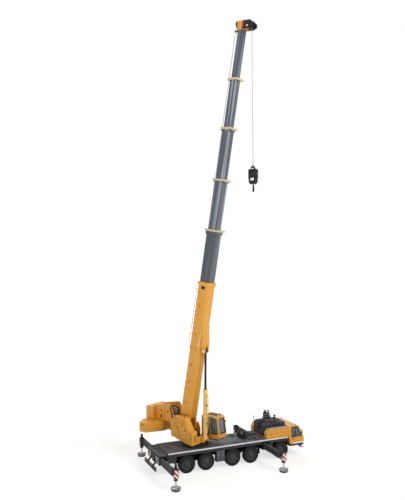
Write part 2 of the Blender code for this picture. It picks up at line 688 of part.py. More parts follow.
def last_section_shape(wide, high, wall, top):
    """The innermost section with the boom head, its cheeks and the sheave's pin."""
    radius = 2.4
    outer, bore = tube(top - SECTION_LENGTH, top + 0.5, wide, high, wall, radius)
    shell = cut(outer, bore)
    head = block((top, top + HEAD_LENGTH), (-HEAD_WIDE / 2, HEAD_WIDE / 2), (-HEAD_HIGH / 2, HEAD_HIGH / 2))
    inner = SHEAVE_WIDE / 2 + GAP
    cheeks = []
    for side in (-1, 1):
        tip = -SHEAVE_DROP - 10.5
        outline = [(top, -HEAD_HIGH / 2 + 1), (top, -SHEAVE_DROP - 3), (top + 3, tip), (top + 8, tip),
                   (top + HEAD_LENGTH, -SHEAVE_DROP - 4), (top + HEAD_LENGTH, -HEAD_HIGH / 2 + 1)]
        cheeks.append(prism(outline, "y", *sorted((side * inner, side * (inner + HEAD_CHEEK)))))
    axle_x = top + SHEAVE_AHEAD
    axle = bar((axle_x, -inner - 1, -SHEAVE_DROP), (axle_x, inner + 1, -SHEAVE_DROP), SHEAVE_BORE - GAP, 10)
    return join(shell, head, *cheeks, axle)


def raised(shape):
    """Lifts a shape drawn on the boom's centre line to its place above the foot pin."""
    shape.data.transform(Matrix.Translation((0, 0, BOOM_RISE * MM)))
    return shape


end = BASE_END
for name, wide, high, wall, out, collar in SECTIONS:
    if name == "boom_base":
        node(name, raised(base_shape(wide, high, wall)), boom, YELLOW)
        continue
    if collar:
        end += out + collar
        node(name, raised(section_shape(wide, high, wall, end, collar)), boom, SLATE)
    else:
        end += out
        node(name, raised(last_section_shape(wide, high, wall, end)), boom, SLATE)
HEAD_START = end

sheave_place = (HEAD_START + SHEAVE_AHEAD, 0, BOOM_RISE - SHEAVE_DROP)
half = SHEAVE_WIDE / 2
groove = [(SHEAVE_BORE, -half), (SHEAVE_RADIUS, -half), (SHEAVE_RADIUS - 0.9, 0), (SHEAVE_RADIUS, half),
          (SHEAVE_BORE, half)]
node("head_sheave", turned(groove, "y", sides=20), boom, BLACK, sheave_place)

# The hoist hangs plumb: its empty undoes the boom's angle.
plumb = empty("hoist", boom, sheave_place, (0, LUFF_DEG, 0))
rope_x = SHEAVE_RADIUS + ROPE_RADIUS - 0.5
block_top = -ROPE_LENGTH
rope_top = 0.0


def hook_block_shape():
    """Two cheek plates drawn in to the rope's socket above and to the hook's swivel below."""
    half_wide = BLOCK_WIDE / 2
    low = -BLOCK_HIGH
    half = [(1.6, 0), (2.2, -3.2), (half_wide - 1.2, -4), (half_wide, -5.4), (half_wide, -17),
            (half_wide - 1.0, -24.4), (3.0, low)]
    outline = [(-x, z) for x, z in half] + half[::-1]
    body = prism(outline, "y", -BLOCK_THICK / 2, BLOCK_THICK / 2)
    slot = block((-half_wide - 1, half_wide + 1), (-1.5, 1.5), (-17, -6.4))
    sheave = bar((0, -2, -11.6), (0, 2, -11.6), 5.0, 20)
    return join(cut(body, slot), sheave)


def hook_shape():
    """Shank and a round-bellied hook, cut as a plate."""
    shank = bar((0, 0, 0), (0, 0, -3.4), 1.3, 12)
    outline = [(1.2, -2.4)]
    outline += [(4.4 * math.cos(math.radians(a)), -7.0 + 4.4 * math.sin(math.radians(a)))
                for a in range(60, -181, -20)]
    outline += [(-3.0, -6.0)]
    outline += [(2.0 * math.cos(math.radians(a)), -6.6 + 2.0 * math.sin(math.radians(a)))
                for a in range(-160, 61, 20)]
    outline += [(-1.2, -3.6), (-1.2, -2.4)]
    return join(prism(outline, "y", -1.2, 1.2), shank)


rope = bar((0, 0, -ROPE_LENGTH + GAP), (0, 0, rope_top), ROPE_RADIUS, 8)
rope.data.transform(Matrix.Translation((rope_x * MM, 0, 0)))
node("hoist_rope", rope, plumb, ROPE_GREY)
node("hook_block", hook_block_shape(), plumb, BLACK, (rope_x, 0, block_top))
hook = node("hook", hook_shape(), plumb, BLACK, (rope_x, 0, block_top - BLOCK_HIGH - GAP), 0.35, 0.5)
hook.rotation_euler.z = math.radians(HOOK_TURN)


# ---------------------------------------------------------------- luffing cylinder

angle = math.radians(LUFF_DEG)
pin_x = FOOT_PIN[0] + CYLINDER_PIN[0] * math.cos(angle) - CYLINDER_PIN[1] * math.sin(angle)
pin_z = FOOT_PIN[1] + CYLINDER_PIN[0] * math.sin(angle) + CYLINDER_PIN[1] * math.cos(angle)
reach = math.hypot(pin_x - CYLINDER_FOOT[0], pin_z - CYLINDER_FOOT[1])
lean = math.degrees(math.atan2(pin_z - CYLINDER_FOOT[1], pin_x - CYLINDER_FOOT[0]))
cylinder = empty("cylinder_foot", upper, (CYLINDER_FOOT[0], 0, CYLINDER_FOOT[1]), (0, -lean, 0))


def barrel_shape():
    """The cylinder's barrel along +X from its foot eye, bored for the rod."""
    tube_body = bar((2, 0, 0), (BARREL_LENGTH, 0, 0), BARREL_RADIUS - 0.2)
    gland = bar((BARREL_LENGTH - 6, 0, 0), (BARREL_LENGTH, 0, 0), BARREL_RADIUS)
    eye = bar((0, -BARREL_RADIUS + 0.1, 0), (0, BARREL_RADIUS - 0.1, 0), 3.0)
    bore = bar((8, 0, 0), (BARREL_LENGTH + 1, 0, 0), BARREL_BORE)
    return cut(join(tube_body, gland, eye), bore)


def rod_shape():
    """The cylinder's rod with its eye at the boom."""
    shaft = bar((ROD_START, 0, 0), (reach - 1, 0, 0), ROD_RADIUS, 12)
    eye = bar((reach, -2.5, 0), (reach, 2.5, 0), 2.3)
    return join(shaft, eye)


node("luffing_barrel", barrel_shape(), cylinder, YELLOW)
node("luffing_rod", rod_shape(), cylinder, BLACK, roughness=0.25)


# ---------------------------------------------------------------- origin

bpy.context.view_layer.update()
corners = [ob.matrix_world @ v.co for ob in bpy.data.objects if ob.type == "MESH" for v in ob.data.vertices]
middle = [(min(c[i] for c in corners) + max(c[i] for c in corners)) / 2 for i in (0, 1)]
floor = min(c[2] for c in corners)
root.location = (-middle[0], -middle[1], -floor)
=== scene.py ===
import json
import math

import bmesh
import bpy
from mathutils import Matrix, Vector


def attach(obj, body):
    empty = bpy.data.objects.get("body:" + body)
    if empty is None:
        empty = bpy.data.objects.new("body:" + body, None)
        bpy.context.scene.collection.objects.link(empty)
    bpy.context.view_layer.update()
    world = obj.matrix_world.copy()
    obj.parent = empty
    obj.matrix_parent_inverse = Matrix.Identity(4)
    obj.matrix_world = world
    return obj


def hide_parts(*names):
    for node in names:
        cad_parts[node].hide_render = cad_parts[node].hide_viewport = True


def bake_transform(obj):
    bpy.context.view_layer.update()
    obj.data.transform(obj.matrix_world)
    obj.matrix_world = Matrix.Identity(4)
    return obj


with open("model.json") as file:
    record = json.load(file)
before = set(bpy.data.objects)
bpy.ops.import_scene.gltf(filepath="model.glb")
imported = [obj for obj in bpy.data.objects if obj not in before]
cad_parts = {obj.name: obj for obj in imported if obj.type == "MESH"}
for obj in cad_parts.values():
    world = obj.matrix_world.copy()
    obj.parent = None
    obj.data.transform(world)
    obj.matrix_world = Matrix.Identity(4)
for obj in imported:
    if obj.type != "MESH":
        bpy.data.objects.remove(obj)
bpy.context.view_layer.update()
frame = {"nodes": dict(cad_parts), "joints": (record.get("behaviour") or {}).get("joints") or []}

# The camera, and the places that everything else is measured from.  The carrier is measured from the
# slewing axis, the upper works turn about it, and the boom is measured from its foot pin with X along
# it.  Places are in millimetres of the model.
link = bpy.context.scene.collection.objects.link
joints = {joint["name"]: joint for joint in frame["joints"]}


def place(origin, ahead, left):
    """The matrix from millimetres in a group's own axes to metres in the model's."""
    ahead, left = Vector(ahead).normalized(), Vector(left).normalized()
    turn = Matrix((ahead, left, ahead.cross(left))).transposed().to_4x4()
    return Matrix.Translation(origin) @ turn @ Matrix.Scale(0.001, 4)


slew_axis = Vector((*joints["slew"]["pos_m"][:2], 0))
upper_left = -Vector(joints["luff"]["axis"])
CARRIER = place(slew_axis, (1, 0, 0), (0, 1, 0))
UPPER = place(slew_axis, upper_left.cross(Vector((0, 0, 1))), upper_left)
BOOM = place(joints["luff"]["pos_m"], joints["telescope_1"]["axis"], upper_left)

camera_turn = math.radians(-23.64)
camera_rise = math.radians(2.5)
camera_roll = math.radians(-0.26)
camera_lens = 39.07
camera_stand = slew_axis + Vector((-0.3452, -0.8192, 0.3088))
camera_data = bpy.data.cameras.new("camera")
camera_data.lens = camera_lens
camera_data.clip_start = 0.01
camera = bpy.data.objects.new("camera", camera_data)
link(camera)
camera.matrix_world = (Matrix.Translation(camera_stand) @ Matrix.Rotation(camera_turn, 4, "Z")
                       @ Matrix.Rotation(math.pi / 2 + camera_rise, 4, "X")
                       @ Matrix.Rotation(camera_roll, 4, "Z"))
bpy.context.scene.camera = camera


# The yellow paint of cabs, housings and the boom's base: a baked enamel on cast metal, with the
# slight orange peel of a sprayed coat, a little wear of tone and a soft gloss.
class Value:
    """A node's output, with arithmetic that adds the nodes it needs."""

    def __init__(self, tree, socket):
        self.tree = tree
        self.socket = socket

    def math(self, operation, *others):
        return self.tree.add("ShaderNodeMath", {"operation": operation},
                             {0: self, **dict(enumerate(others, 1))})

    def __add__(self, other):
        return self.math("ADD", other)

    def __sub__(self, other):
        return self.math("SUBTRACT", other)

    def __mul__(self, other):
        return self.math("MULTIPLY", other)

    def __gt__(self, other):
        return self.math("GREATER_THAN", other)

    def __radd__(self, other):
        return self + other

    def __rmul__(self, other):
        return self * other

    def __rsub__(self, other):
        return self.tree.add("ShaderNodeMath", {"operation": "SUBTRACT"}, {0: other, 1: self})


class Finish:
    """A material and the nodes that feed its shader."""

    def __init__(self, name, colour, roughness, metallic=0.0, coat=0.0, alpha=1.0,
                 specular=0.4):
        self.material = bpy.data.materials.new(name)
        self.material.use_nodes = True
        self.nodes = self.material.node_tree.nodes
        self.links = self.material.node_tree.links
        self.shader = self.nodes["Principled BSDF"]
        self.set("Base Color", (*colour, 1.0))
        self.set("Roughness", roughness)
        self.set("Metallic", metallic)
        self.set("Coat Weight", coat)
        self.set("Coat Roughness", 0.12)
        self.set("Specular IOR Level", specular)
        self.set("Alpha", alpha)
        self.spot = self.add("ShaderNodeTexCoord", out="Object")

    def set(self, socket, value):
        if isinstance(value, Value):
            self.links.new(value.socket, self.shader.inputs[socket])
        else:
            self.shader.inputs[socket].default_value = value

    def add(self, kind, settings=None, values=None, out=0):
        node = self.nodes.new(kind)
        for key, value in (settings or {}).items():
            setattr(node, key, value)
        for key, value in (values or {}).items():
            if isinstance(value, Value):
                self.links.new(value.socket, node.inputs[key])
            else:
                node.inputs[key].default_value = value
        return Value(self, node.outputs[out])

    def noise(self, scale, detail=3.0, vector=None):
        return self.add("ShaderNodeTexNoise", None,
                        {"Vector": vector or self.spot, "Scale": scale, "Detail": detail})

    def mix(self, amount, first, second):
        """A colour between two; either may be a Value or three numbers."""
        first, second = (c if isinstance(c, Value) else (*c, 1.0) for c in (first, second))
        return self.add("ShaderNodeMix", {"data_type": "RGBA"}, {0: amount, 6: first, 7: second}, out=2)

    def bump(self, height, strength, distance=0.0002):
        self.set("Normal", self.add("ShaderNodeBump", None, {"Height": height, "Strength": strength,
                                                            "Distance": distance}))


def enamel(name, colour, shade, roughness=0.34, coat=0.2, specular=0.4):
    """Sprayed paint between two close tones, with fine orange peel."""
    finish = Finish(name, colour, roughness, coat=coat, specular=specular)
    cloud = finish.noise(40, 4)
    finish.set("Base Color", finish.mix(cloud, shade, colour))
    finish.set("Roughness", roughness - 0.06 + 0.14 * finish.noise(260, 2))
    finish.bump(finish.noise(1500, 1), 0.12)
    return finish.material


YELLOW = enamel("yellow_enamel", (0.80, 0.375, 0.038), (0.69, 0.30, 0.024))
# The yellow enamel darkened as painted shade; it marks seams, holes, gaps and louvres, and colours rails,
# posts, pipes and small blocks.
SHADED_YELLOW = enamel("shaded_seam", (0.36, 0.15, 0.02), (0.28, 0.11, 0.015), 0.5, 0.0, 0.2)


# The boom's telescope tubes: slate grey enamel with long painted highlight streaks along them,
# brighter on the three in the middle, and a light yellow edge at each end.
def slate_with_highlight_streaks(name, dark, light):
    finish = Finish(name, dark, 0.38, metallic=0.15, coat=0.2)
    turn = BOOM.to_3x3().normalized().inverted().to_euler()
    turned = finish.add("ShaderNodeMapping", None, {"Vector": finish.spot, "Rotation": turn})
    along = finish.add("ShaderNodeMapping", None, {"Vector": turned, "Scale": (5, 210, 210)})
    # Painted highlight: noise stretched along the tube gives long light streaks in place of reflections.
    highlight_streak = finish.add("ShaderNodeClamp", None, {"Value": (finish.noise(1.0, 2, along) - 0.47) * 4.0})
    finish.set("Base Color", finish.mix(highlight_streak, dark, light))
    finish.set("Roughness", 0.3 + 0.16 * finish.noise(200, 2))
    finish.bump(finish.noise(1300, 1), 0.08)
    return finish.material


# Faint painted highlight streaks on the first and last tubes, bright ones on the three in the middle.
SLATE = slate_with_highlight_streaks("slate_enamel", (0.058, 0.068, 0.082), (0.2, 0.22, 0.25))
BRIGHT_HIGHLIGHT_SLATE = slate_with_highlight_streaks("shiny_slate_enamel", (0.07, 0.083, 0.1), (0.44, 0.48, 0.53))
COLLAR = enamel("collar_enamel", (0.84, 0.56, 0.17), (0.76, 0.47, 0.12))


def coat(node, *finishes, choose=None):
    """Gives a node its finishes; choose(centre) picks one for a face from its centre in metres."""
    mesh = frame["nodes"][node].data
    mesh.materials.clear()
    for finish in finishes:
        mesh.materials.append(finish)
    for face in mesh.polygons:
        face.material_index = choose(face.center) if choose else 0


into_boom = BOOM.inverted()
boom_end = {}
for node in ["boom_base"] + [f"boom_section_{n}" for n in range(1, 6)]:
    boom_end[node] = max((into_boom @ v.co).x for v in frame["nodes"][node].data.vertices)
edge_long = 0.6
for node in [f"boom_section_{n}" for n in range(1, 5)]:
    tube = SLATE if node == "boom_section_1" else BRIGHT_HIGHLIGHT_SLATE
    edge = boom_end[node] - edge_long
    coat(node, tube, COLLAR, choose=lambda c, edge=edge: int((into_boom @ c).x > edge))
coat("boom_base", YELLOW)


# Black and grey enamels, rubber, bright plate and the other finishes of the small parts.  They are
# sprayed or moulded matt, so that they stay dark beside the glossy yellow.
BLACK = enamel("black_enamel", (0.012, 0.012, 0.014), (0.02, 0.02, 0.022), 0.5, 0.0, 0.2)
GREY = enamel("grey_enamel", (0.052, 0.052, 0.058), (0.034, 0.034, 0.038), 0.55, 0.0, 0.2)
DECK = enamel("deck_enamel", (0.105, 0.108, 0.12), (0.07, 0.07, 0.078), 0.5, 0.0, 0.3)
PALE = enamel("pale_grey_enamel", (0.42, 0.43, 0.44), (0.34, 0.35, 0.36), 0.5, 0.0, 0.3)
WHITE = enamel("white_enamel", (0.86, 0.86, 0.85), (0.76, 0.76, 0.75), 0.4)
RED = enamel("red_enamel", (0.55, 0.025, 0.03), (0.42, 0.018, 0.02), 0.4)
AMBER = enamel("amber_lens", (0.75, 0.19, 0.01), (0.65, 0.14, 0.01), 0.2, 0.6)
STEEL = Finish("bright_plate", (0.62, 0.63, 0.65), 0.26, metallic=1.0)
STEEL.set("Roughness", 0.18 + 0.2 * STEEL.noise(700, 3))
STEEL = STEEL.material
for node in frame["nodes"]:
    if node.startswith(("axle", "knuckle", "chassis", "boom_rest", "rear_guard", "hook", "head_sheave",
                        "hoist_drum", "luffing_rod")) or "seat" in node:
        coat(node, BLACK)
    elif node.startswith("carrier_deck"):
        coat(node, GREY, DECK, choose=lambda c: int(c.z > 0.0343))
    elif node.startswith(("engine_cover", "exhaust", "outrigger_beam")):
        coat(node, GREY)
    elif node.startswith(("driver_cab", "crane_cab", "front_side", "slewing", "machinery", "counterweight",
                          "luffing_barrel")):
        coat(node, YELLOW)


class Shape:
    """Parts of one piece, drawn in millimetres in a group's axes, each in its own finish."""

    def __init__(self, group, soft=0.25):
        self.group = group
        self.soft = soft
        self.mesh = bmesh.new()
        self.finishes = []

    def take(self, part, finish, soft=None):
        """Rounds a part's sharp edges and adds it to the piece."""
        soft = self.soft if soft is None else soft
        bmesh.ops.recalc_face_normals(part, faces=part.faces)
        if soft:
            sharp = [edge for edge in part.edges if edge.is_manifold and edge.calc_face_angle() > 0.6]
            bmesh.ops.bevel(part, geom=sharp, offset=soft, segments=2, profile=0.5, affect="EDGES",
                            clamp_overlap=True)
        mesh = bpy.data.meshes.new("part")
        part.to_mesh(mesh)
        part.free()
        self.add(mesh, finish)

    def add(self, mesh, finish):
        if finish not in self.finishes:
            self.finishes.append(finish)
        for face in mesh.polygons:
            face.material_index = self.finishes.index(finish)
            face.use_smooth = True
        self.mesh.from_mesh(mesh)
        bpy.data.meshes.remove(mesh)

    def prism(self, outline, axis, low, high, finish, soft=None):
        """An outline of (y, z), (x, z) or (x, y) points drawn out along x, y or z."""
        spot = {"x": lambda a, b, c: (c, a, b), "y": lambda a, b, c: (a, c, b), "z": lambda a, b,
                c: (a, b, c)}[axis]
        part = bmesh.new()
        ends = [[part.verts.new(spot(a, b, c)) for a, b in outline] for c in (low, high)]
        for end in ends:
            part.faces.new(end)
        for i in range(len(outline)):
            j = (i + 1) % len(outline)
            part.faces.new((ends[0][i], ends[0][j], ends[1][j], ends[1][i]))
        self.take(part, finish, soft)

    def block(self, x, y, z, finish, soft=None):
        (x0, x1), (y0, y1), (z0, z1) = sorted(x), sorted(y), sorted(z)
        self.prism([(x0, y0), (x1, y0), (x1, y1), (x0, y1)], "z", z0, z1, finish, soft)

    def bar(self, start, end, radius, finish, sides=14, tip=None):
        start, end = Vector(start), Vector(end)
        turn = (end - start).to_track_quat("Z", "Y").to_matrix().to_4x4()
        part = bmesh.new()
        bmesh.ops.create_cone(part, cap_ends=True, segments=sides, radius1=radius, radius2=tip or radius,
                              depth=(end - start).length, matrix=Matrix.Translation((start + end) / 2) @ turn)
        self.take(part, finish, radius * 0.12 if radius > 0.7 else 0)

    def turned(self, profile, finish, centre=(0, 0, 0), axis="z", sides=32, closed=False):
        """A profile of (radius, height) turned about an axis; a closed one is a ring."""
        part = bmesh.new()
        rings = []
        for radius, height in profile:
            steps = sides if radius else 1
            ring = []
            for k in range(steps):
                angle = 2 * math.pi * k / sides
                a, b = radius * math.cos(angle), radius * math.sin(angle)
                spot = (a, height, -b) if axis == "y" else (a, b, height)
                ring.append(part.verts.new(Vector(spot) + Vector(centre)))
            rings.append(ring)
        pairs = list(zip(rings, rings[1:])) + ([(rings[-1], rings[0])] if closed else [])
        for lower, upper in pairs:
            for k in range(sides):
                corners = [lower[k % len(lower)], lower[(k + 1) % sides % len(lower)],
                           upper[(k + 1) % sides % len(upper)], upper[k % len(upper)]]
                part.faces.new(list(dict.fromkeys(corners)))
        self.take(part, finish, 0)

    def pipe(self, points, radius, finish):
        """A round pipe that bends smoothly through its points."""
        curve = bpy.data.curves.new("pipe", "CURVE")
        curve.dimensions = "3D"
        curve.bevel_depth = radius
        curve.bevel_resolution = 2
        curve.resolution_u = 5
        curve.use_fill_caps = True
        spline = curve.splines.new("BEZIER")
        spline.bezier_points.add(len(points) - 1)
        for knot, point in zip(spline.bezier_points, points):
            knot.co = point
            knot.handle_left_type = knot.handle_right_type = "AUTO"
        self.add(plain_mesh(bpy.data.objects.new("pipe", curve)), finish)

    def repeat(self, tree, part, count, spread, finish, at=(0, 0, 0), turn=Matrix()):
        """Adds a row or a ring of a small part, made by a tree, at a place and turn."""
        one = part.plain("part")
        modifier = one.modifiers.new(tree.name, "NODES")
        modifier.node_group = tree
        values = {"Count": count, "Spread": spread, "Finish": finish}
        for item in tree.interface.items_tree:
            if item.in_out == "INPUT" and item.name in values:
                modifier[item.identifier] = values[item.name]
        mesh = plain_mesh(one)
        mesh.transform(Matrix.Translation(at) @ turn.to_4x4())
        self.add(mesh, finish)

    def plain(self, name):
        """The piece as an object with its mesh in place."""
        self.mesh.transform(self.group)
        mesh = bpy.data.meshes.new(name)
        self.mesh.to_mesh(mesh)
        self.mesh.free()
        for finish in self.finishes:
            mesh.materials.append(finish)
        mesh.set_sharp_from_angle(angle=math.radians(32))
        return bpy.data.objects.new(name, mesh)

    def ride(self, name, body, slot, *replaced):
        piece = self.plain(name)
        link(piece)
        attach(piece, body)
        if replaced:
            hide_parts(*replaced)
        return piece


def plain_mesh(made):
    """The mesh that an object's curve or modifiers come to; the object goes."""
    link(made)
    bpy.context.view_layer.update()
    mesh = bpy.data.meshes.new_from_object(made.evaluated_get(bpy.context.evaluated_depsgraph_get()))
    bpy.data.objects.remove(made, do_unlink=True)
    return mesh


def pattern(kind):
    """A tree that repeats the object's own mesh round a ring, or along a row, in one finish."""
    tree = bpy.data.node_groups.new(kind, "GeometryNodeTree")
    add, join = tree.nodes.new, tree.links.new
    spread = "NodeSocketFloat" if kind == "ring" else "NodeSocketVector"
    for name, socket in (("Part", "NodeSocketGeometry"), ("Count", "NodeSocketInt"), ("Spread", spread),
                         ("Finish", "NodeSocketMaterial")):
        tree.interface.new_socket(name, in_out="INPUT", socket_type=socket)
    tree.interface.new_socket("Pattern", in_out="OUTPUT", socket_type="NodeSocketGeometry")
    given, made = add("NodeGroupInput"), add("NodeGroupOutput")
    copies = add("GeometryNodeInstanceOnPoints")
    if kind == "ring":
        path = add("GeometryNodeMeshCircle")
        join(given.outputs["Count"], path.inputs["Vertices"])
        join(given.outputs["Spread"], path.inputs["Radius"])
        outward = add("FunctionNodeAlignRotationToVector")
        outward.axis = "X"
        outward.pivot_axis = "Z"
        join(add("GeometryNodeInputPosition").outputs[0], outward.inputs["Vector"])
        join(outward.outputs[0], copies.inputs["Rotation"])
    else:
        path = add("GeometryNodeMeshLine")
        join(given.outputs["Count"], path.inputs["Count"])
        join(given.outputs["Spread"], path.inputs["Offset"])
    join(path.outputs[0], copies.inputs["Points"])
    join(given.outputs["Part"], copies.inputs["Instance"])
    real = add("GeometryNodeRealizeInstances")
    finish = add("GeometryNodeSetMaterial")
    join(copies.outputs[0], real.inputs[0])
    join(real.outputs[0], finish.inputs[0])
    join(given.outputs["Finish"], finish.inputs["Material"])
    join(finish.outputs[0], made.inputs[0])
    return tree


RING = pattern("ring")
ROW = pattern("row")
FREE = Matrix()


def stud(radius, high, sides=6):
    """A small screw head or nut on the origin; the tree that repeats it gives its finish."""
    part = Shape(FREE, 0)
    part.bar((0, 0, -0.1), (0, 0, high), radius, None, sides)
    return part


def chip(x, y, z):
    """A small block about the origin, of the given sizes."""
    part = Shape(FREE, 0.08)
    part.block((-x / 2, x / 2), (-y / 2, y / 2), (-z / 2, z / 2), None)
    return part


def skin(side, face, under, proud):
    """How far out a part on one side starts, let in under a face, and ends, proud of it."""
    return side * (face - under), side * (face + proud)


# Ten wheels: black tyres moulded with two rows of blocks on dark rims.  Each rim is a dish with a
# ring of nuts round a raised hub, and nearer its edge a ring of black discs, painted shade for hand holes.
RUBBER = Finish("tyre_rubber", (0.018, 0.018, 0.018), 0.8, specular=0.2)
RUBBER.set("Base Color", RUBBER.mix(RUBBER.noise(300, 4), (0.009, 0.009, 0.009), (0.022, 0.021, 0.02)))
RUBBER.bump(RUBBER.noise(2600, 2), 0.25)
RUBBER = RUBBER.material
RIM = enamel("rim_enamel", (0.072, 0.075, 0.082), (0.045, 0.047, 0.052), 0.45, 0.1, 0.3)
half_tyre = 3.8
tread_radius = 13.3
OUT = Matrix.Rotation(-math.pi / 2, 4, "X")      # turns a ring about Z to one about Y
for name, joint in joints.items():
    if not name.startswith("roll"):
        continue
    side = 1 if name.endswith("left") else -1
    wheel = Shape(place(joint["pos_m"], (side, 0, 0), (0, side, 0)))
    shoulder = [(12.7, 3.62), (12.0, half_tyre), (11.5, 3.68), (10.4, 3.78), (9.6, 3.62), (8.3, 3.3)]
    far_shoulder = [(r, -h) for r, h in reversed(shoulder)]
    tyre = [(8.0, 0.0)] + far_shoulder + [(tread_radius, -3.1), (tread_radius, 3.1)] + shoulder
    wheel.turned(tyre, RUBBER, axis="y", sides=56, closed=True)
    for row, lean in ((-1, -18), (1, 18)):
        lug = Shape(Matrix.Rotation(math.radians(lean), 4, "X"), 0.08)
        lug.block((-0.3, 0.4), (-0.72, 0.72), (-1.45, 1.45), RUBBER)
        wheel.repeat(RING, lug, 34, tread_radius, RUBBER, (0, row * 1.75, 0), OUT)
    rim = [(8.2, 3.1), (8.0, 3.5), (7.6, 3.3), (7.2, 1.0), (4.4, 0.7), (3.9, 1.3), (3.3, 2.5), (2.2, 2.8),
           (1.85, 2.8), (1.85, -1.0), (7.4, -1.0), (8.2, -3.1)]
    wheel.turned(rim, RIM, axis="y", sides=40, closed=True)
    wheel.turned([(0, 2.2), (1.8, 2.2), (1.8, 3.0), (1.4, 3.3), (0, 3.4)], GREY, axis="y", sides=20)
    wheel.repeat(RING, stud(0.36, 0.7), 10, 4.9, GREY, (0, 0.7, 0), OUT)
    # Black discs: painted shade in place of the hand holes.
    wheel.repeat(RING, stud(0.62, 0.18, 12), 10, 6.3, BLACK, (0, 0.85, 0), OUT)
    wheel.ride(name.replace("roll", "road_wheel"), joint["child"], joint["child"], joint["child"])


# The carrier's deck and frame: a steel plate with ribs, a white line along its edge, boxes and
# lamps.  Screws, ribs and lamps are cast or moulded with it.
half_body = 27.5
deck_top = 34.4
deck_rear, deck_front = -57.0, 157.4
line_low, line_high = 32.4, 34.3
flap_front, flap_rear = 101.6, -44.4
trim = Shape(CARRIER, 0.12)
for side in (-1, 1):
    edge = skin(side, half_body, 0.2, 0.3)
    trim.block((deck_rear, deck_front), edge, (line_low, line_high), WHITE)
    trim.repeat(ROW, chip(2.0, 0.4, 0.8), 8, (24.0, 0, 0), GREY, (-38.0, side * half_body, 30.2))
    for x, low in ((flap_front, 13.0), (flap_rear, 11.0)):
        trim.block((x, x + 0.9), (side * 20.0, side * 27.3), (low, 28.5), BLACK)
    for box in (24.2, 31.6):
        face = (side * 27.1, side * 27.5)
        trim.block((box + 0.3, box + 6.9), face, (11.2, 27.4), DECK)
        trim.bar((box + 2.6, side * 27.7, 20), (box + 4.6, side * 27.7, 20), 0.3, STEEL, 8)
trim.ride("deck_edge_trim", "carrier", "carrier_deck")

ribs = Shape(CARRIER, 0.1)
rib_step = 3.4
for start, out, long, count in ((-55.0, 16.5, 11.0, 24), (30.0, 18.0, 16.0, 16)):
    for side in (-1, 1):
        ribs.repeat(ROW, chip(0.5, long, 0.5), count, (rib_step, 0, 0), DECK,
                    (start, side * out, deck_top + 0.1))
# x, y, length, width, height of each box on the deck
DECK_BOXES = [
    (93, -13, 9, 8, 2.4),
    (103, -14, 8, 12, 3.4),
    (92, 8, 8, 12, 2.6),
    (104, 8, 9, 14, 4.4),
    (-48, 0, 8, 12, 0.8),
    (62, -20, 9, 5, 0.9),
    (72, 14, 6, 9, 1.6),
]
for x, y, long, wide, high in DECK_BOXES:
    ribs.block((x - long / 2, x + long / 2), (y - wide / 2, y + wide / 2), (deck_top - 0.5, deck_top + high),
               DECK)
    ribs.block((x - long / 2 + 1, x + long / 2 - 1), (y - wide / 2 + 1, y + wide / 2 - 1),
               (deck_top + high - 0.2, deck_top + high + 0.3), GREY)
for y in (-8.0, -3.0, 2.0):
    ribs.pipe([(87, y, deck_top + 1), (92, y + 1, deck_top + 2.6), (99, y + 1, deck_top + 3.4),
               (108, y, deck_top + 2.4), (113, y, deck_top + 1)], 0.6, GREY)
horn = [(80.5, 46.8), (85.5, 46.8), (84.6, 47.6), (81.4, 47.6)]
for y in (-11, 11):
    ribs.prism(horn, "y", y - 1.2, y + 1.2, BLACK)
ribs.ride("deck_fittings", "carrier", "carrier_deck")

# The tail: lamps, a pale panel on each side of the rear housing and the hoses to the outriggers.
tail = Shape(CARRIER, 0.15)
rear = -71.9
for side in (-1, 1):
    tail.block((rear - 0.3, rear + 0.3), (side * 13, side * 26), (19.5, 28.5), PALE)
    tail.block((rear - 1.0, rear - 0.2), (side * 19.5, side * 25), (23.0, 26.5), BLACK)
    tail.repeat(ROW, chip(0.5, 1.3, 1.6), 3, (0, side * 1.7, 0), RED, (rear - 1.1, side * 20.6, 24.7))
    tail.pipe([(-58.5, side * 20, 30), (-57.4, side * 23, 26), (-58.4, side * 25.6, 22)], 0.6, BLACK)
    tail.block((-58.9, -57.2), (side * 14, side * 24), (20, 29), PALE)
tail.block((rear + 0.4, -58.0), (-26.6, 26.6), (30.6, 33.9), DECK, 0.5)
tail.repeat(ROW, chip(12.4, 0.5, 0.5), 12, (0, 4.4, 0), GREY, (-64.8, -24.2, 34.0))
for y in (-18, -6, 6, 18):
    tail.block((-69, -60), (y - 2.2, y + 2.2), (33.6, 34.9), GREY)
tail.repeat(ROW, stud(0.45, 0.4), 6, (0, 5.0, 0), STEEL, (rear, -12.5, 28.0),
            Matrix.Rotation(-math.pi / 2, 4, "Y"))
tail.bar((rear - 2.6, 0, 21.5), (rear, 0, 21.5), 1.1, STEEL)
tail.ride("tail_fittings", "carrier", "chassis_frame")

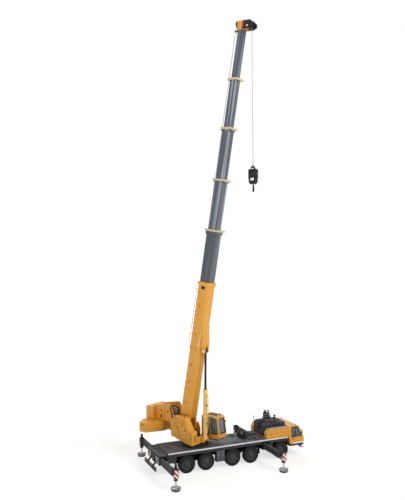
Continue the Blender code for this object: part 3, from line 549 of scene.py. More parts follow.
# Boxes over the front wheels: yellow pressings with a pale tread plate on top, three doors with their
# latches, and one marker post.  The engine cover has louvres, and the air intake stands on it.
boxes = Shape(CARRIER, 0.1)
box_rear, box_front, box_top = 116.0, 157.4, 50.0
door_low, door_high = 36.4, 48.6
seam_half = 0.12
post_x, post_y, post_top = box_rear + 4, 24.0, 60
for side in (-1, 1):
    outer = side * (half_body - 0.1)
    boxes.block((box_rear + 5, box_front - 0.5), (side * 19.6, side * 27.0), (box_top - 0.1, box_top + 0.4),
                PALE)
    boxes.repeat(ROW, chip(0.4, 6.4, 0.3), 12, (3.0, 0, 0), PALE, (box_rear + 7, side * 23.3, box_top + 0.5))
    for x in (box_rear + 1.6, box_rear + 14, box_rear + 27, box_front - 1.4):
        boxes.block((x - seam_half, x + seam_half), (outer, outer + side * 0.06), (door_low, door_high),
                    SHADED_YELLOW, 0)
    for z in (door_low, door_high):
        boxes.block((box_rear + 1.6, box_front - 1.4), (outer, outer + side * 0.06),
                    (z - seam_half, z + seam_half), SHADED_YELLOW, 0)
    for x in (box_rear + 8, box_rear + 20.5, box_rear + 33):
        boxes.block((x - 1.3, x + 1.3), (outer, outer + side * 0.35), (41.6, 42.6), BLACK)
boxes.bar((post_x, post_y, 48), (post_x, post_y, post_top), 0.55, SHADED_YELLOW, 10)
boxes.bar((post_x, post_y, post_top - 1.4), (post_x, post_y, post_top + 1), 0.8, SHADED_YELLOW, 10)
boxes.ride("side_box_fittings", "carrier", "front_side_boxes")

cover = Shape(CARRIER, 0.1)
cover_top = 56.5
intake_x, intake_y = 150.5, 4.8
silencer_y = 17.6
for side in (-1, 1):
    cover.repeat(ROW, chip(10, 0.5, 0.7), 9, (0, 0, 1.6), BLACK, (125.5, side * 17.5, 39.5))
    cover.repeat(ROW, chip(10, 0.5, 0.7), 3, (0, 0, 1.6), BLACK, (139.0, side * 17.5, 51.6))
    cover.repeat(ROW, chip(0.7, 8.4, 0.5), 8, (1.5, 0, 0), BLACK, (119.8, side * 11.4, cover_top))
for strap in ((129.5, 131.0), (147.0, 148.2)):
    cover.block(strap, (-16.5, 16.5), (cover_top - 0.2, cover_top + 0.7), GREY)
cover.block((134, 143), (-13, -3), (cover_top - 0.2, cover_top + 1.6), BLACK)
cover.bar((intake_x, intake_y, cover_top), (intake_x, intake_y, cover_top + 5.6), 1.2, BLACK)
cover.turned([(0, 0), (2.0, 0), (2.2, 0.8), (1.4, 1.8), (0, 2.1)], BLACK,
             (intake_x, intake_y, cover_top + 5.2), sides=20)
for x, radius in ((139.0, 3.7), (144.6, 3.0)):
    for z in (59.4, 63.0):
        cover.turned([(radius - 0.3, -0.35), (radius + 0.25, -0.35), (radius + 0.25, 0.35),
                      (radius - 0.3, 0.35)],
                     STEEL, (x, silencer_y, z), sides=28, closed=True)
cover.turned([(1.9, 0), (2.4, 0), (2.4, 0.8), (1.9, 0.8)], STEEL, (139.0, silencer_y, 69.0), sides=24,
             closed=True)
cover.pipe([(144.6, silencer_y, 65), (145.4, 16.8, 68.2), (142.6, 16.4, 69.2)], 1.0, GREY)
cover.pipe([(148.5, 14, cover_top), (148.0, 15.5, 62), (146.0, 16.5, 63.6)], 0.8, STEEL)
cover.ride("engine_cover_fittings", "carrier", "engine_cover")

# The driver's cab: one yellow pressing with black rubber round its panes, lamps in a pale band over
# the bumper, mirrors on arms, wipers, steps and a folding step under the bumper.
CLEAR = Finish("tinted_acrylic", (0.17, 0.19, 0.19), 0.06, alpha=0.6, specular=0.6)
CLEAR.set("Roughness", 0.04 + 0.05 * CLEAR.noise(300, 2))
CLEAR = CLEAR.material
for node in ("driver_cab_windows", "crane_cab_windows"):
    coat(node, CLEAR)
cab = Shape(CARRIER, 0.1)
cab_half = half_body - 0.2
cab_front, screen_half = 188.4, 24.3
band = (21.0, 23.0)
pane = [(164.5, 32.5), (183.0, 32.5), (183.8, 34.0), (177.0, 46.5), (175.0, 48.5), (166.0, 48.5),
        (164.5, 47.0)]


def frame_round(shape, outline, y, thick, finish):
    """A rubber frame that follows a side window's edge of (x, z) points."""
    slope = thick * 0.7
    knob = [(0, -thick), (slope, -slope), (thick, 0), (slope, slope), (0, thick)]
    for i, (x, z) in enumerate(outline):
        next_x, next_z = outline[(i + 1) % len(outline)]
        shape.bar((x, y, z), (next_x, y, next_z), thick, finish, 8)
        shape.turned(knob, finish, (x, y, z), sides=8)


for side in (-1, 1):
    outer = side * cab_half
    frame_round(cab, pane, outer, 0.55, BLACK)
    cab.bar((171.5, outer, 32.6), (171.5, outer, 48.4), 0.45, BLACK, 8)
    for x0, z0, x1, z1 in ((163.2, 24, 163.2, 49.4), (163.2, 49.4, 176, 49.4), (163.2, 24, 185.4, 24),
                           (185.4, 24, 185.2, 33)):
        cab.bar((x0, outer, z0), (x1, outer, z1), 0.14, SHADED_YELLOW, 6)
    cab.block((165.5, 168.5), (outer, outer + side * 0.5), (29.2, 30.3), BLACK)
    cab.block((167.5, 187.2), (outer - side * 0.4, outer + side * 0.5), band, WHITE)
    cab.block((168.0, 178.0), (outer - side * 0.6, outer + side * 0.4), (18.6, 19.6), BLACK)
    cab.bar((170.0, outer, 27.2), (170.0, outer + side * 0.6, 27.2), 0.9, AMBER, 14)
    cab.block((188.0, 189.0), (side * 12.0, side * 25.4), (24.6, 28.8), BLACK)
    for y in (15.0, 21.5):
        cab.bar((188.6, side * y, 26.7), (189.4, side * y, 26.7), 1.7, WHITE, 20)
    cab.bar((185.6, side * 26.8, 34.4), (184.0, side * 28.6, 39.0), 0.3, BLACK, 8)
    cab.bar((184.0, side * 28.6, 42.0), (179.2, side * 27.2, 47.4), 0.3, BLACK, 8)
    cab.block((183.4, 184.6), (side * 27.8, side * 30.0), (36.4, 43.6), BLACK, 0.4)
    cab.block((183.2, 183.5), (side * 28.1, side * 29.7), (36.9, 43.1), STEEL, 0)
    cab.bar((187.6, side * 6, 34.2), (184.2, side * 15, 41.5), 0.25, BLACK, 6)
    cab.bar((184.8, side * 12.0, 38.2), (182.4, side * 17.4, 44.6), 0.35, BLACK, 6)
    cab.bar((168, side * 22, 51), (168, side * 22, 52.4), 0.8, AMBER, 12)
    cab.bar((175.5, side * 22, 50.8), (175.5, side * 22, 52.2), 0.6, BLACK, 12)
    cab.block((182.2, 188.2), (side * 20, side * 20.8), (12.6, 17.4), BLACK)
cab.block((187.6, 189.0), (-25.6, 25.6), band, WHITE)
cab.repeat(ROW, chip(0.6, 18.0, 0.5), 4, (0, 0, 1.2), BLACK, (cab_front, 0, 25.0))
cab.block((188.6, 188.9), (-9, 9), (30.0, 31.0), SHADED_YELLOW, 0)
for z in (33.0, 48.0):
    x = cab_front - (z - 30.5) * 0.51
    cab.bar((x, -screen_half, z), (x, screen_half, z), 0.5, BLACK, 8)
for side in (-1, 1):
    cab.bar((187.1, side * screen_half, 33.0), (179.5, side * screen_half, 48.0), 0.5, BLACK, 8)
for side in (-1, 1):
    hoop = [(179, side * 26.4, 17.6), (180, side * 26.6, 14.0), (182.5, side * 26.6, 13.2),
            (187.0, side * 26.6, 13.2), (188.4, side * 26.6, 14.4), (188.2, side * 26.4, 17.6)]
    cab.pipe(hoop, 0.5, STEEL)
    cab.block((181.5, 187.5), (side * 24.6, side * 27.0), (12.9, 13.6), BLACK)
cab.ride("driver_cab_fittings", "carrier", "driver_cab")

# Outriggers: grey box beams, with the jack's tube striped red and white on its outer face, a bright
# rod, and a bright plate on a black pad.
STRIPES = Finish("warning_stripes", (0.8, 0.8, 0.8), 0.45)
slant = STRIPES.add("ShaderNodeTexWave", {"bands_direction": "DIAGONAL"},
                    {"Vector": STRIPES.spot, "Scale": 95.0})
STRIPES.set("Base Color", STRIPES.mix(slant > 0.5, (0.78, 0.76, 0.76), (0.5, 0.02, 0.035)))
STRIPES.set("Roughness", 0.4 + 0.1 * STRIPES.noise(400, 2))
STRIPES = STRIPES.material
jack_y = 81.4
pad_black_top = 0.0031      # metres above the ground
for end, x, cap_top, cap_radius in (("front", 114.2, 31.6, 1.3), ("rear", -65.4, 36.4, 1.9)):
    for side, word in ((-1, "right"), (1, "left")):
        carrying, jack = f"outrigger_beam_{end}_{word}", f"jack_{end}_{word}"
        beam = Shape(CARRIER, 0.12)
        outer = side * (jack_y + 3.3)
        beam.block((x - 3.0, x + 3.0), (outer - side * 0.2, outer + side * 0.25), (17.4, 29.2), STRIPES)
        beam.block((x - 3.5, x - 3.2), (side * (jack_y - 2.8), outer), (17.6, 23.4), STRIPES)
        beam.block((x - 3.6, x + 3.6), skin(side, jack_y, 3.6, 3.6), (29.4, 30.3), BLACK)
        beam.bar((x, side * jack_y, 30.2), (x, side * jack_y, cap_top), cap_radius, BLACK)
        beam.turned([(2.0, 0), (3.1, 0), (3.1, 1.1), (2.0, 1.1)], BLACK, (x, side * jack_y, 14.0), sides=20,
                    closed=True)
        beam.pipe([(x, side * jack_y, 31.0), (x + side * 1.4, side * (jack_y - 5), 31.0),
                   (x + side * 2.4, side * (jack_y - 9), 28.9)], 0.5, BLACK)
        beam.repeat(ROW, stud(0.35, 0.3), 4, (0, -side * 11.0, 0), STEEL,
                    (x + side * 2.5, side * (jack_y - 12), 28.6))
        beam.ride(f"beam_fittings_{end}_{word}", carrying, carrying)
        coat(jack, STEEL, BLACK, choose=lambda c: int(c.z < pad_black_top))
        pad = Shape(CARRIER, 0.1)
        pad.turned([(6.0, 3.7), (6.9, 3.7), (7.1, 4.2), (6.6, 4.5), (6.0, 4.1)], GREY, (x, side * jack_y, 0),
                   sides=36, closed=True)
        pad.repeat(RING, chip(2.6, 0.5, 1.0), 6, 4.4, STEEL, (x, side * jack_y, 4.3))
        pad.ride(f"pad_fittings_{end}_{word}", jack, jack)

# The upper works: a cast platform on its black slewing ring, with louvred doors in the machinery
# housing, and behind it the slabs of the counterweight with their lifting eyes.
ring_top = 0.0396      # metres above the ground
coat("slewing_platform", YELLOW, BLACK, choose=lambda c: int(c.z < ring_top))
works = Shape(UPPER, 0.15)
works.block((-24, 12), (-10.6, 10.6), (42.5, 47.0), BLACK)
works.block((-22, -4), (-8.0, 8.0), (46.8, 50.0), SHADED_YELLOW)
for y in (-7.5, -4.5, 4.5, 7.5):
    works.pipe([(-14, y, 48), (-9, y * 0.9, 53), (-2, y * 0.9, 50), (6, y, 46.5)], 0.7, BLACK)
cheek_out = 13.2
foot_x, foot_z = -9.6, 60.6
for side in (-1, 1):
    works.bar((foot_x, side * (cheek_out - 0.2), foot_z), (foot_x, side * (cheek_out + 1.0), foot_z), 3.4,
              YELLOW, 24)
    works.bar((foot_x, side * cheek_out, foot_z), (foot_x, side * (cheek_out + 1.5), foot_z), 1.9, STEEL, 20)
    for brace, proud in (([(-40, 57), (-36, 57), (-45, 88), (-48, 88)], 1.1),
                         ([(-58, 66), (-56, 66), (-56, 87.5), (-58, 87.2)], 1.1),
                         ([(-74, 66), (-72, 66), (-72, 85.4), (-74, 85)], 1.1),
                         ([(-36, 58), (-34, 59), (-72, 84.5), (-74, 83)], 0.8)):
        works.prism(brace, "y", *skin(side, cheek_out, 0.1, proud), YELLOW)
    # Holes in the cheeks: discs in the darkened yellow, painted shade inside each hole, with a yellow ring
    # round it.
    for x, z, radius in ((-47, 64.0, 2.6), (-64.5, 71.5, 3.4), (-65, 81.0, 1.6), (-49, 80.5, 2.0),
                         (-31, 57, 1.4)):
        works.bar((x, side * (cheek_out - 0.1), z), (x, side * (cheek_out + 0.12), z), radius, SHADED_YELLOW, 20)
        works.turned([(radius, -0.25), (radius + 0.5, -0.25), (radius + 0.5, 0.4), (radius, 0.4)], YELLOW,
                     (x, side * cheek_out, z), "y", 24, True)
    works.prism([(-57.6, 54.6), (-37, 52.2), (-37.6, 63), (-44, 66), (-57.6, 64)], "y",
                *skin(side, cheek_out, 0.1, 0.2), SHADED_YELLOW)
works.block((-76.5, -60), (-10.4, 10.4), (85.2, 86.4), YELLOW)
works.block((-58, -45), (-10.4, 10.4), (65.0, 66.4), YELLOW)
works.repeat(ROW, chip(0.6, 18, 0.5), 6, (2.6, 0, 0), YELLOW, (-75, 0, 86.6))
for z in (68.5, 79.5):
    works.block((-94.5, -93.8), (-18.5, 18.5), (z, z + 0.7), YELLOW)
for hatch in ((-14, -2), (2, 14)):
    works.block((-94.4, -93.9), hatch, (70.4, 78.4), SHADED_YELLOW)
for y in (-16, 16):
    works.bar((-94.9, y, 66.4), (-94.0, y, 66.4), 1.2, RED, 16)
works.pipe([(-44, -12.0, 91), (-40, -15.5, 84), (-36, -16.5, 76), (-30, -15.4, 68), (-24, -14.4, 62)], 0.8,
           BLACK)
works.pipe([(-60, -12.5, 66), (-52, -15.4, 63), (-44, -16.2, 60), (-34, -15.8, 58)], 0.9, SHADED_YELLOW)
works.ride("upper_works_fittings", "upper_works", "slewing_platform")

house = Shape(UPPER, 0.12)
house_out = -26.0
house.repeat(ROW, chip(8.5, 0.5, 0.5), 5, (0, 0, 2.2), SHADED_YELLOW, (-21.5, house_out, 64.0))
house.repeat(ROW, chip(6.0, 0.5, 0.5), 4, (0, 0, 2.2), SHADED_YELLOW, (-6.0, house_out, 66.0))
for x0, x1, z0, z1 in ((-28.0, -14.5, 50.0, 76.0), (-13.0, 1.5, 46.5, 76.0), (3.4, 12.4, 43.5, 58.0)):
    for a, b in (((x0, z0), (x1, z0)), ((x1, z0), (x1, z1)), ((x1, z1), (x0, z1)), ((x0, z1), (x0, z0))):
        house.bar((a[0], house_out, a[1]), (b[0], house_out, b[1]), 0.16, SHADED_YELLOW, 6)
    house.block((x1 - 2.6, x1 - 1.2), (house_out - 0.4, house_out),
                ((z0 + z1) / 2 - 1.4, (z0 + z1) / 2 + 1.4), BLACK)
house.block((14.2, 14.7), (-25.0, -14.6), (42.0, 58.6), YELLOW)
house.repeat(ROW, chip(0.5, 8.4, 0.7), 5, (0, 0, 2.0), SHADED_YELLOW, (14.8, -19.8, 46.0))
rail = [(-30.0, -24.8, 75.8), (-29.0, -24.8, 82.0), (-12.0, -24.8, 86.0), (-3.0, -24.8, 85.0),
        (-2.6, -24.8, 79.0)]
house.pipe(rail, 0.45, GREY)
for x, low, high in ((-20.5, 78.2, 84.0), (-12.0, 79.6, 86.0)):
    house.bar((x, -24.8, low), (x, -24.8, high), 0.4, GREY, 8)
house.block((-27, -14), (-23.5, -15), (78.0, 79.6), YELLOW)
house.ride("machinery_housing_fittings", "upper_works", "machinery_housing")

ballast = Shape(UPPER, 0.1)
outline = [(-58.5, 14), (-73.5, 40), (-87.0, 41.6), (-94.0, 24), (-94.0, -24), (-87.0, -41.6), (-73.5, -40),
           (-58.5, -14)]
for z in (53.2, 58.6):
    for i, here in enumerate(outline):
        after = outline[(i + 1) % len(outline)]
        ballast.bar((*here, z), (*after, z), 0.17, SHADED_YELLOW, 6)
for y in (-33, -22, 22, 33):
    ballast.turned([(1.2, -0.4), (2.0, -0.4), (2.2, 0), (2.0, 0.5), (1.2, 0.5)], YELLOW, (-81, y, 64.2),
                   sides=20, closed=True)
    ballast.bar((-81, y, 63.9), (-81, y, 64.25), 1.25, BLACK, 16)
for x, y in ((-80.6, -41.2), (-91.0, -34.0)):
    ballast.bar((x, y, 60.0), (x - 0.2, y - 0.7, 60.0), 1.1, SHADED_YELLOW, 16)
for side in (-1, 1):
    ballast.block((-70.0, -67.0), (side * 17.0, side * 20.0), (63.8, 66.8), YELLOW)
    ballast.block((-92.6, -88.6), (side * 26.0, side * 30.0), (63.8, 65.0), YELLOW)
ballast.ride("counterweight_fittings", "upper_works", "counterweight")

# The hoist: a drum wound with two layers of cord, between flanges.  The cord climbs from it to a
# pulley behind the boom's foot, and runs on guides along the boom's back to its head.
ROPE = Finish("laid_cord", (0.13, 0.13, 0.135), 0.8, specular=0.2)
lay = ROPE.add("ShaderNodeTexWave", {"bands_direction": "DIAGONAL"}, {"Vector": ROPE.spot, "Scale": 900.0})
ROPE.set("Base Color", ROPE.mix(lay, (0.24, 0.22, 0.2), (0.44, 0.42, 0.4)))
ROPE.bump(lay, 0.4)
ROPE = ROPE.material
coat("hoist_rope", ROPE)
DRUM = place(joints["drum_turn"]["pos_m"], upper_left.cross(Vector((0, 0, 1))), upper_left)
drum = Shape(DRUM, 0.1)
turns, turn_step = 21, 0.86
turn_of_rope = Shape(OUT, 0)
turn_of_rope.turned([(5.3, -0.42), (5.95, -0.3), (6.15, 0), (5.95, 0.3), (5.3, 0.42)], ROPE, sides=28,
                    closed=True)
drum.repeat(ROW, turn_of_rope, turns, (0, turn_step, 0), ROPE, (0, -turn_step * (turns - 1) / 2, 0))
for side, facing in ((-1, OUT @ Matrix.Rotation(math.pi, 4, "X")), (1, OUT)):
    drum.repeat(RING, stud(0.5, 0.35), 8, 4.4, STEEL, (0, side * 10.5, 0), facing)
drum.ride("drum_fittings", "hoist_drum", "hoist_drum")

# The operator's cab: yellow frame and pale door pillar, rubber round its panes, grab rails, wiper, a
# grille on the roof and a round mirror on an arm in front.
box_cab = Shape(UPPER, 0.1)
box_front, box_roof = 38.0, 80.0
cab_pane = [(12.0, 51.5), (32.0, 51.5), (35.0, 54.0), (32.0, 74.6), (30.4, 76.2), (5.5, 76.2), (4.0, 74.5),
            (4.0, 63.0)]
CREAM = enamel("cream_enamel", (0.66, 0.5, 0.3), (0.56, 0.42, 0.25), 0.4)
for y, out in ((13.6, -1), (32.0, 1)):
    frame_round(box_cab, cab_pane, y, 0.5, BLACK)
    shell = (y - out * 0.1, y + out * 0.35)
    box_cab.bar((19.5, y, 51.6), (18.5, y, 76.1), 0.9, CREAM, 10)
    for plate in ([(35.2, 53.6), (37.7, 53.6), (34.0, 77.0), (32.0, 75.4)],
                  [(1.4, 62.6), (3.6, 62.6), (3.6, 75.6), (1.4, 76.6)],
                  [(3.0, 76.6), (32.4, 76.6), (30.8, 79.6), (5.2, 79.6)]):
        box_cab.prism(plate, "y", *shell, CREAM)
    box_cab.bar((20.4, y + out * 0.6, 58.0), (20.4, y + out * 0.6, 68.0), 0.28, BLACK, 8)
    for z in (58.0, 68.0):
        box_cab.bar((20.4, y, z), (20.4, y + out * 0.6, z), 0.28, BLACK, 8)
    box_cab.bar((6, y, 47.0), (35, y, 47.6), 0.16, SHADED_YELLOW, 6)
    box_cab.block((13.5, 17.0), (y, y + out * 0.4), (49.4, 50.4), BLACK)
screen_right, screen_left, screen_foot = 15.6, 30.0, 54.0
lean_in = 3.6 / 23.0
for z in (53.0, 75.5):
    x = box_front - max(0.0, z - screen_foot) * lean_in
    box_cab.bar((x, screen_right, z), (x, screen_left, z), 0.45, BLACK, 8)
for y in (screen_right, screen_left):
    box_cab.bar((box_front, y, 53.2), (34.4, y, 75.5), 0.5, BLACK, 8)
box_cab.bar((38.4, 22.8, 54.5), (36.4, 24.6, 66.0), 0.3, BLACK, 6)
box_cab.repeat(ROW, chip(0.7, 13, 0.5), 8, (2.2, 0, 0), BLACK, (10.0, 22.8, box_roof + 0.1))
for y in (18.3, 27.3):
    box_cab.block((27.0, 30.0), (y - 1.3, y + 1.3), (box_roof, box_roof + 1.6), BLACK)
    box_cab.bar((30.0, y, box_roof + 0.8), (30.4, y, box_roof + 0.8), 0.8, WHITE, 14)
box_cab.pipe([(33.5, 20.0, 78.0), (37.5, 20.0, 78.6), (41.5, 20.0, 77.0), (43.5, 20.0, 75.4)], 0.35, BLACK)
ball_radius, ball_steps = 1.5, 8
ball = [(ball_radius * math.sin(math.pi * k / ball_steps), ball_radius * math.cos(math.pi * k / ball_steps))
        for k in range(ball_steps + 1)]
ball[0], ball[-1] = (0, ball_radius), (0, -ball_radius)
box_cab.turned(ball, BLACK, (44.2, 20.0, 74.2), sides=16)
box_cab.block((5, 33), (14.4, 31.2), (42.3, 43.3), BLACK)
box_cab.ride("crane_cab_fittings", "crane_cab", "crane_cab")

# The boom's base: a folded box with bands round it where the luffing cylinder pushes, pads that guide
# the tubes, a guard rail on its back and rollers for the hoist cord.
base = Shape(BOOM, 0.15)
mid, half_high, half_wide = 7.5, 10.0, 9.5
back, belly = mid + half_high, mid - half_high
rail_out, rail_high = half_wide + 1.6, back + 1.4
for x, long, proud in ((126.0, 3.0, 0.5), (60.0, 2.0, 0.35), (180.0, 2.0, 0.35), (20.5, 3.0, 0.5)):
    for side in (-1, 1):
        base.block((x, x + long), skin(side, half_wide, 0.3, proud),
                   (belly + 5.0, back + proud), YELLOW)
    base.block((x, x + long), (-half_wide - proud, half_wide + proud), (back - 0.3, back + proud), YELLOW)
for side in (-1, 1):
    # A light yellow wedge on each side, low down near the belly: painted highlight.
    base.prism([(130, belly + 0.4), (168, belly + 0.4), (134, belly + 5.5)], "y",
               *skin(side, half_wide, 0.4, 0.5), COLLAR)
    base.bar((24, side * (half_wide + 0.25), 3.0), (228, side * (half_wide + 0.25), 3.0), 0.3, COLLAR, 8)
    base.bar((131, side * rail_out, rail_high), (226, side * rail_out, rail_high), 0.45, SHADED_YELLOW, 8)
    post = Shape(FREE, 0)
    post.bar((0, -side * 1.9, -1.6), (0, 0, 0), 0.35, SHADED_YELLOW, 6)
    base.repeat(ROW, post, 6, (18.6, 0, 0), SHADED_YELLOW, (132.0, side * rail_out, rail_high))
    for x in (36.0, 72.0, 100.0, 150.0, 196.0):
        base.block((x, x + 4.2), skin(side, half_wide, 0.2, 0.25), (9.0, 11.0), SHADED_YELLOW)
    base.repeat(ROW, stud(0.55, 0.5, 10), 7, (30.0, 0, 0), BLACK, (40.0, side * half_wide, 14.6),
                Matrix.Rotation(-side * math.pi / 2, 4, "X"))
    base.block((226.0, 230.4), skin(side, half_wide, 0.2, 0.7), (4.0, 11.0), BLACK)
base.prism([(132.6, belly + 0.6), (132.6, belly - 4.6), (137, belly - 5.2), (168, belly + 0.6)], "y", -8.8,
           8.8, YELLOW, 0.6)
rope_high, rope_radius = back + 3.4, 0.4
pulley_x = 44.0
for x in (66.0, 108.0, 150.0, 192.0, 234.6):
    for y in (-2.2, 2.2):
        base.block((x - 1.0, x + 1.0), (y - 0.4, y + 0.4), (back - 0.2, rope_high + 0.9), BLACK)
    base.bar((x, -2.6, rope_high - 1.1), (x, 2.6, rope_high - 1.1), 0.6, STEEL, 12)
base.bar((pulley_x, 0, rope_high), (boom_end["boom_base"] - 3.0, 0, rope_high), rope_radius, ROPE, 8)
pulley = [(0.6, -1.2), (1.9, -1.2), (1.9, -0.8), (1.3, -0.3), (1.3, 0.3), (1.9, 0.8), (1.9, 1.2), (0.6, 1.2)]
base.turned(pulley, STEEL, (pulley_x, 0, rope_high - 1.3), "y", 28, True)
pin_x, pin_z = 128.0, -7.8
for side in (-1, 1):
    base.block((pulley_x - 4, pulley_x + 4), (side * 1.5, side * 2.2), (back - 0.2, rope_high - 1.6), YELLOW)
    base.bar((0, side * 9.3, 0), (0, side * 10.6, 0), 2.6, STEEL, 20)
    base.turned([(0, 0), (1.8, 0), (1.8, 0.5), (1.2, 0.9), (0, 0.9)], STEEL, (pin_x, side * 5.6, pin_z), "y",
                20)
base.ride("boom_base_fittings", "boom", "boom_base")

# Each tube but the last ends in a thin cream flange with its screws.  All of them carry a pair of
# rollers for the cord, and the last ends in the head: yellow behind, black round its sheave.
collar_proud = 1.3
flange_long, flange_high = 3.4, 1.2
black_below = mid - 14.0
# tube, width, height, length of its collar or head
TUBES = [
    ("boom_section_1", 17.0, 18.0, 8.4),
    ("boom_section_2", 15.2, 16.2, 5.2),
    ("boom_section_3", 13.4, 14.4, 6.0),
    ("boom_section_4", 11.5, 12.6, 3.6),
    ("boom_section_5", 9.5, 10.6, 13.8),
]
before, set_back = "boom_base", 3.0
for node, wide, high, long in TUBES:
    end = boom_end[node]
    last = node == "boom_section_5"
    if last:
        coat(node, SLATE, YELLOW, BLACK, choose=lambda c, start=end - long - 0.2:
             int((into_boom @ c).x > start) * (1 + int((into_boom @ c).z < black_below)))
    tip = Shape(BOOM, 0.1)
    x = end - (long if last else long / 2)
    if not last:
        flange = (end - flange_long, end - 0.1)
        for side in (-1, 1):
            face = side * (wide / 2 + collar_proud)
            tip.block(flange, (face - side * 0.3, face + side * flange_high),
                      (mid - high / 2 - 2.5, mid + high / 2 + 2.5), CREAM)
            rim = mid + side * (high / 2 + collar_proud)
            tip.block(flange, (-wide / 2 - 2.4, wide / 2 + 2.4),
                      (rim - side * 0.3, rim + side * flange_high), CREAM)
            tip.repeat(ROW, stud(0.4, 0.3), 2, (0, 0, high - 7.0), STEEL,
                       (end - flange_long / 2, face + side * 1.1, mid - high / 2 + 4.0),
                       Matrix.Rotation(-side * math.pi / 2, 4, "X"))
    guide_foot = mid + (7.0 if last else high / 2 + collar_proud)
    for y in (-1.8, 1.8):
        tip.block((x - 0.9, x + 0.9), (y - 0.35, y + 0.35), (guide_foot - 0.3, rope_high + 0.9), BLACK)
    tip.bar((x, -2.2, rope_high - 1.1), (x, 2.2, rope_high - 1.1), 0.6, STEEL, 12)
    if last:
        guide_x = end - 3.0
        tip.bar((x, 0, rope_high), (guide_x, 0, rope_high), rope_radius, ROPE, 8)
        wheel = [(0.8, -1.1), (3.8, -1.1), (3.8, -0.7), (2.9, -0.3), (2.9, 0.3), (3.8, 0.7), (3.8, 1.1),
                 (0.8, 1.1)]
        tip.turned(wheel, GREY, (guide_x, 0, rope_high - 3.2), "y", 28, True)
        for y in (-2.0, 2.0):
            tip.prism([(end - 8, guide_foot - 0.3), (end - 0.6, guide_foot - 0.3),
                       (end - 1.6, rope_high - 1.6),
                       (end - 4.4, rope_high - 1.6)], "y", y - 0.4, y + 0.4, BLACK)
        for y in (-6.2, 6.2):
            tip.bar((end - 9.0, y * 0.99, mid - 12.2), (end - 9.0, y * 1.1, mid - 12.2), 1.5, STEEL, 16)
            cheek = [(end - 13.4, mid - 3.4), (end - 13.4, mid - 15.6), (end - 10.6, mid - 22.4),
                     (end - 5.4, mid - 22.4), (end - 0.2, mid - 16.0), (end - 0.2, mid - 3.4)]
            tip.prism(cheek, "y", y * 0.97, y * 1.04, BLACK)
            tip.block((end - 12.4, end - 1.6), (y * 0.97, y * 1.06), (mid - 4.8, mid - 2.0), RED)
        tip.pipe([(end - 12, -6.4, mid + 5), (end - 6, -8.6, mid + 8), (end - 1, -8.8, mid + 6)], 0.45, BLACK)
    tip.ride(f"{node}_fittings", node, node)
    span = Shape(BOOM, 0)
    start = boom_end[before] - set_back
    pieces = 6
    for k in range(pieces):
        near, far_end = start + (x - start) * k / pieces, start + (x - start) * (k + 1) / pieces
        span.bar((near, 0, rope_high), (far_end, 0, rope_high), rope_radius, ROPE, 8)
    cord = span.plain(f"cord_along_{node}")
    link(cord)
    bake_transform(cord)
    before, set_back = node, long / 2

# The luffing cylinder: a yellow barrel with a gland and two pipes, and a gloss black rod.
reach = Vector(joints["rod_slide"]["axis"])
LIFT = place(joints["barrel_swing"]["pos_m"], reach, upper_left)
coat("luffing_barrel", COLLAR)
lift = Shape(LIFT, 0.1)
pipe_out = 1.2
for x, wide in ((74.2, 3.6), (10.0, 1.6), (40.0, 1.0)):
    lift.bar((x, 0, 0), (x + wide, 0, 0), 3.75, COLLAR, 28)
lift.bar((77.9, 0, 0), (78.6, 0, 0), 2.8, BLACK, 24)
for y in (-pipe_out, pipe_out):
    lift.pipe([(9, y, -3.6), (14, y, -4.4), (66, y, -4.4), (71, y, -3.4)], 0.45, COLLAR)
for x in (24.0, 52.0):
    lift.block((x, x + 1.6), (-2.2, 2.2), (-4.9, -3.2), BLACK)
lift.pipe([(9, 1.2, -3.6), (5.0, 1.6, -4.8), (1.0, 1.8, -4.6)], 0.6, BLACK)
lift.ride("luffing_barrel_fittings", "luffing_barrel", "luffing_barrel")
GLOSS = enamel("gloss_black", (0.006, 0.006, 0.007), (0.009, 0.009, 0.01), 0.24, 0.1, 0.2)
coat("luffing_rod", GLOSS)
coat("hook_block", GLOSS)
coat("hook", GLOSS)

# The hook: a black block of two plates round its sheave, with a bright guard and pins, on a socket,
# and a black hook that turns under it.
lower = joints["hook_swivel"]["pos_m"]
turn_about = upper_left.cross(Vector((0, 0, 1)))
BLOCK = place(lower, turn_about, upper_left)
block = Shape(BLOCK, 0.15)
block_high = 27.3
pin_high = block_high - 11.6
for side in (-1, 1):
    block.block((-5.4, 5.4), (side * 3.2, side * 3.6), (11.0, 21.4), GLOSS)
    block.block((-3.0, 3.4), (side * 3.2, side * 3.7), (5.6, 9.6), STEEL)
    block.block((-3.2, 3.2), (side * 3.2, side * 3.6), (23.2, 24.4), STEEL)
    if side > 0:
        block.turned([(0, 0), (1.7, 0), (1.7, 0.5), (1.1, 0.9), (0, 1.0)], GREY, (0, 3.6, pin_high), "y", 20)
    block.bar((0, side * 3.2, pin_high), (0, side * 4.2, pin_high), 1.6, GREY, 18)
    for z in (7.4, 19.6):
        block.repeat(ROW, stud(0.5, 0.3), 2, (7.4, 0, 0), BLACK, (-3.7, side * 3.5, z),
                     Matrix.Rotation(-side * math.pi / 2, 4, "X"))
    block.block((side * 6.5, side * 6.9), (-2.2, 2.2), (8.0, 18.0), BLACK)
block.bar((0, 0, block_high - 0.4), (0, 0, block_high + 2.6), 1.5, GREY, 16, tip=0.8)
block.turned([(1.4, 0), (2.4, 0), (2.4, 1.2), (1.4, 1.2)], STEEL, (0, 0, -0.6), sides=20, closed=True)
block.ride("hook_block_fittings", "hook_block", "hook_block")

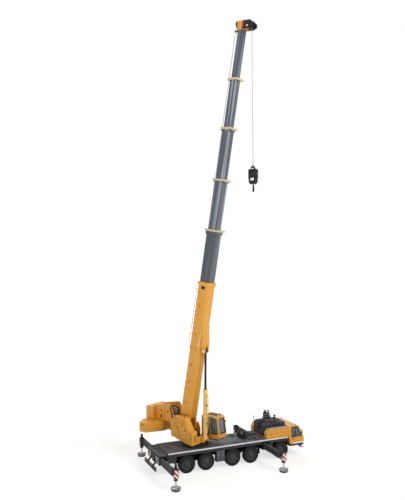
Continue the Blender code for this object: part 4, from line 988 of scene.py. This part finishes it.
# The floor and the light: a pale studio table under soft lamps.
floor_mesh = bpy.data.meshes.new("floor")
floor_mesh.from_pydata([(-30, -30, 0), (30, -30, 0), (30, 30, 0), (-30, 30, 0)], [], [(0, 1, 2, 3)])
floor = bpy.data.objects.new("floor", floor_mesh)
link(floor)
PAPER = Finish("paper", (0.9, 0.9, 0.9), 0.9, specular=0.0)
PAPER.set("Base Color", PAPER.mix(PAPER.noise(60), (0.89, 0.89, 0.89), (0.91, 0.91, 0.91)))
shadow_fade, fade_from = 0.55, 0.35      # share of white seen straight on; metres from the axis
seen_straight = PAPER.add("ShaderNodeLightPath", out="Is Camera Ray") * shadow_fade
glow = PAPER.add("ShaderNodeEmission", None, {"Strength": 1.25})
away = PAPER.add("ShaderNodeVectorMath", {"operation": "LENGTH"}, {0: PAPER.spot}, out="Value")
far = PAPER.add("ShaderNodeClamp", None, {"Value": (away - fade_from) * 2.5})
white_part = PAPER.add("ShaderNodeMath", {"operation": "MAXIMUM"}, {0: far, 1: seen_straight})
both = PAPER.add("ShaderNodeMixShader", None, {0: white_part})
PAPER.links.new(PAPER.shader.outputs[0], both.socket.node.inputs[1])
PAPER.links.new(glow.socket, both.socket.node.inputs[2])
PAPER.links.new(both.socket, PAPER.nodes["Material Output"].inputs[0])
floor.data.materials.append(PAPER.material)

world = bpy.data.worlds.new("studio")
bpy.context.scene.world = world
world.use_nodes = True
tree = world.node_tree
add, join = tree.nodes.new, tree.links.new
tree.nodes.clear()
output = add("ShaderNodeOutputWorld")
soft = add("ShaderNodeBackground")
soft.inputs["Strength"].default_value = 0.45
white = add("ShaderNodeBackground")
white.inputs["Color"].default_value = (1, 1, 1, 1)
rays = add("ShaderNodeLightPath")
seen = rays.outputs["Is Camera Ray"]
for kind in ("Is Glossy Ray", "Is Transmission Ray"):
    either = add("ShaderNodeMath")
    either.operation = "MAXIMUM"
    join(seen, either.inputs[0])
    join(rays.outputs[kind], either.inputs[1])
    seen = either.outputs[0]
mixed = add("ShaderNodeMixShader")
join(seen, mixed.inputs[0])
join(soft.outputs[0], mixed.inputs[1])
join(white.outputs[0], mixed.inputs[2])
join(mixed.outputs[0], output.inputs[0])

# name, place in metres from the slewing axis, power in watts, size in metres
LAMPS = [
    ("key", (0.9, -1.5, 1.7), 26.0, 0.9),
    ("fill", (-1.6, -0.9, 0.9), 8.0, 1.2),
    ("back", (0.2, 1.6, 1.6), 9.0, 1.0),
]
for name, spot, power, size in LAMPS:
    data = bpy.data.lights.new(name, "AREA")
    data.energy = power
    data.size = size
    lamp = bpy.data.objects.new(name, data)
    link(lamp)
    lamp.location = slew_axis + Vector(spot)
    lamp.rotation_euler = (slew_axis + Vector((0, 0, 0.3)) - lamp.location).to_track_quat("-Z",
                                                                                          "Y").to_euler()

bpy.context.scene.view_settings.view_transform = "Standard"
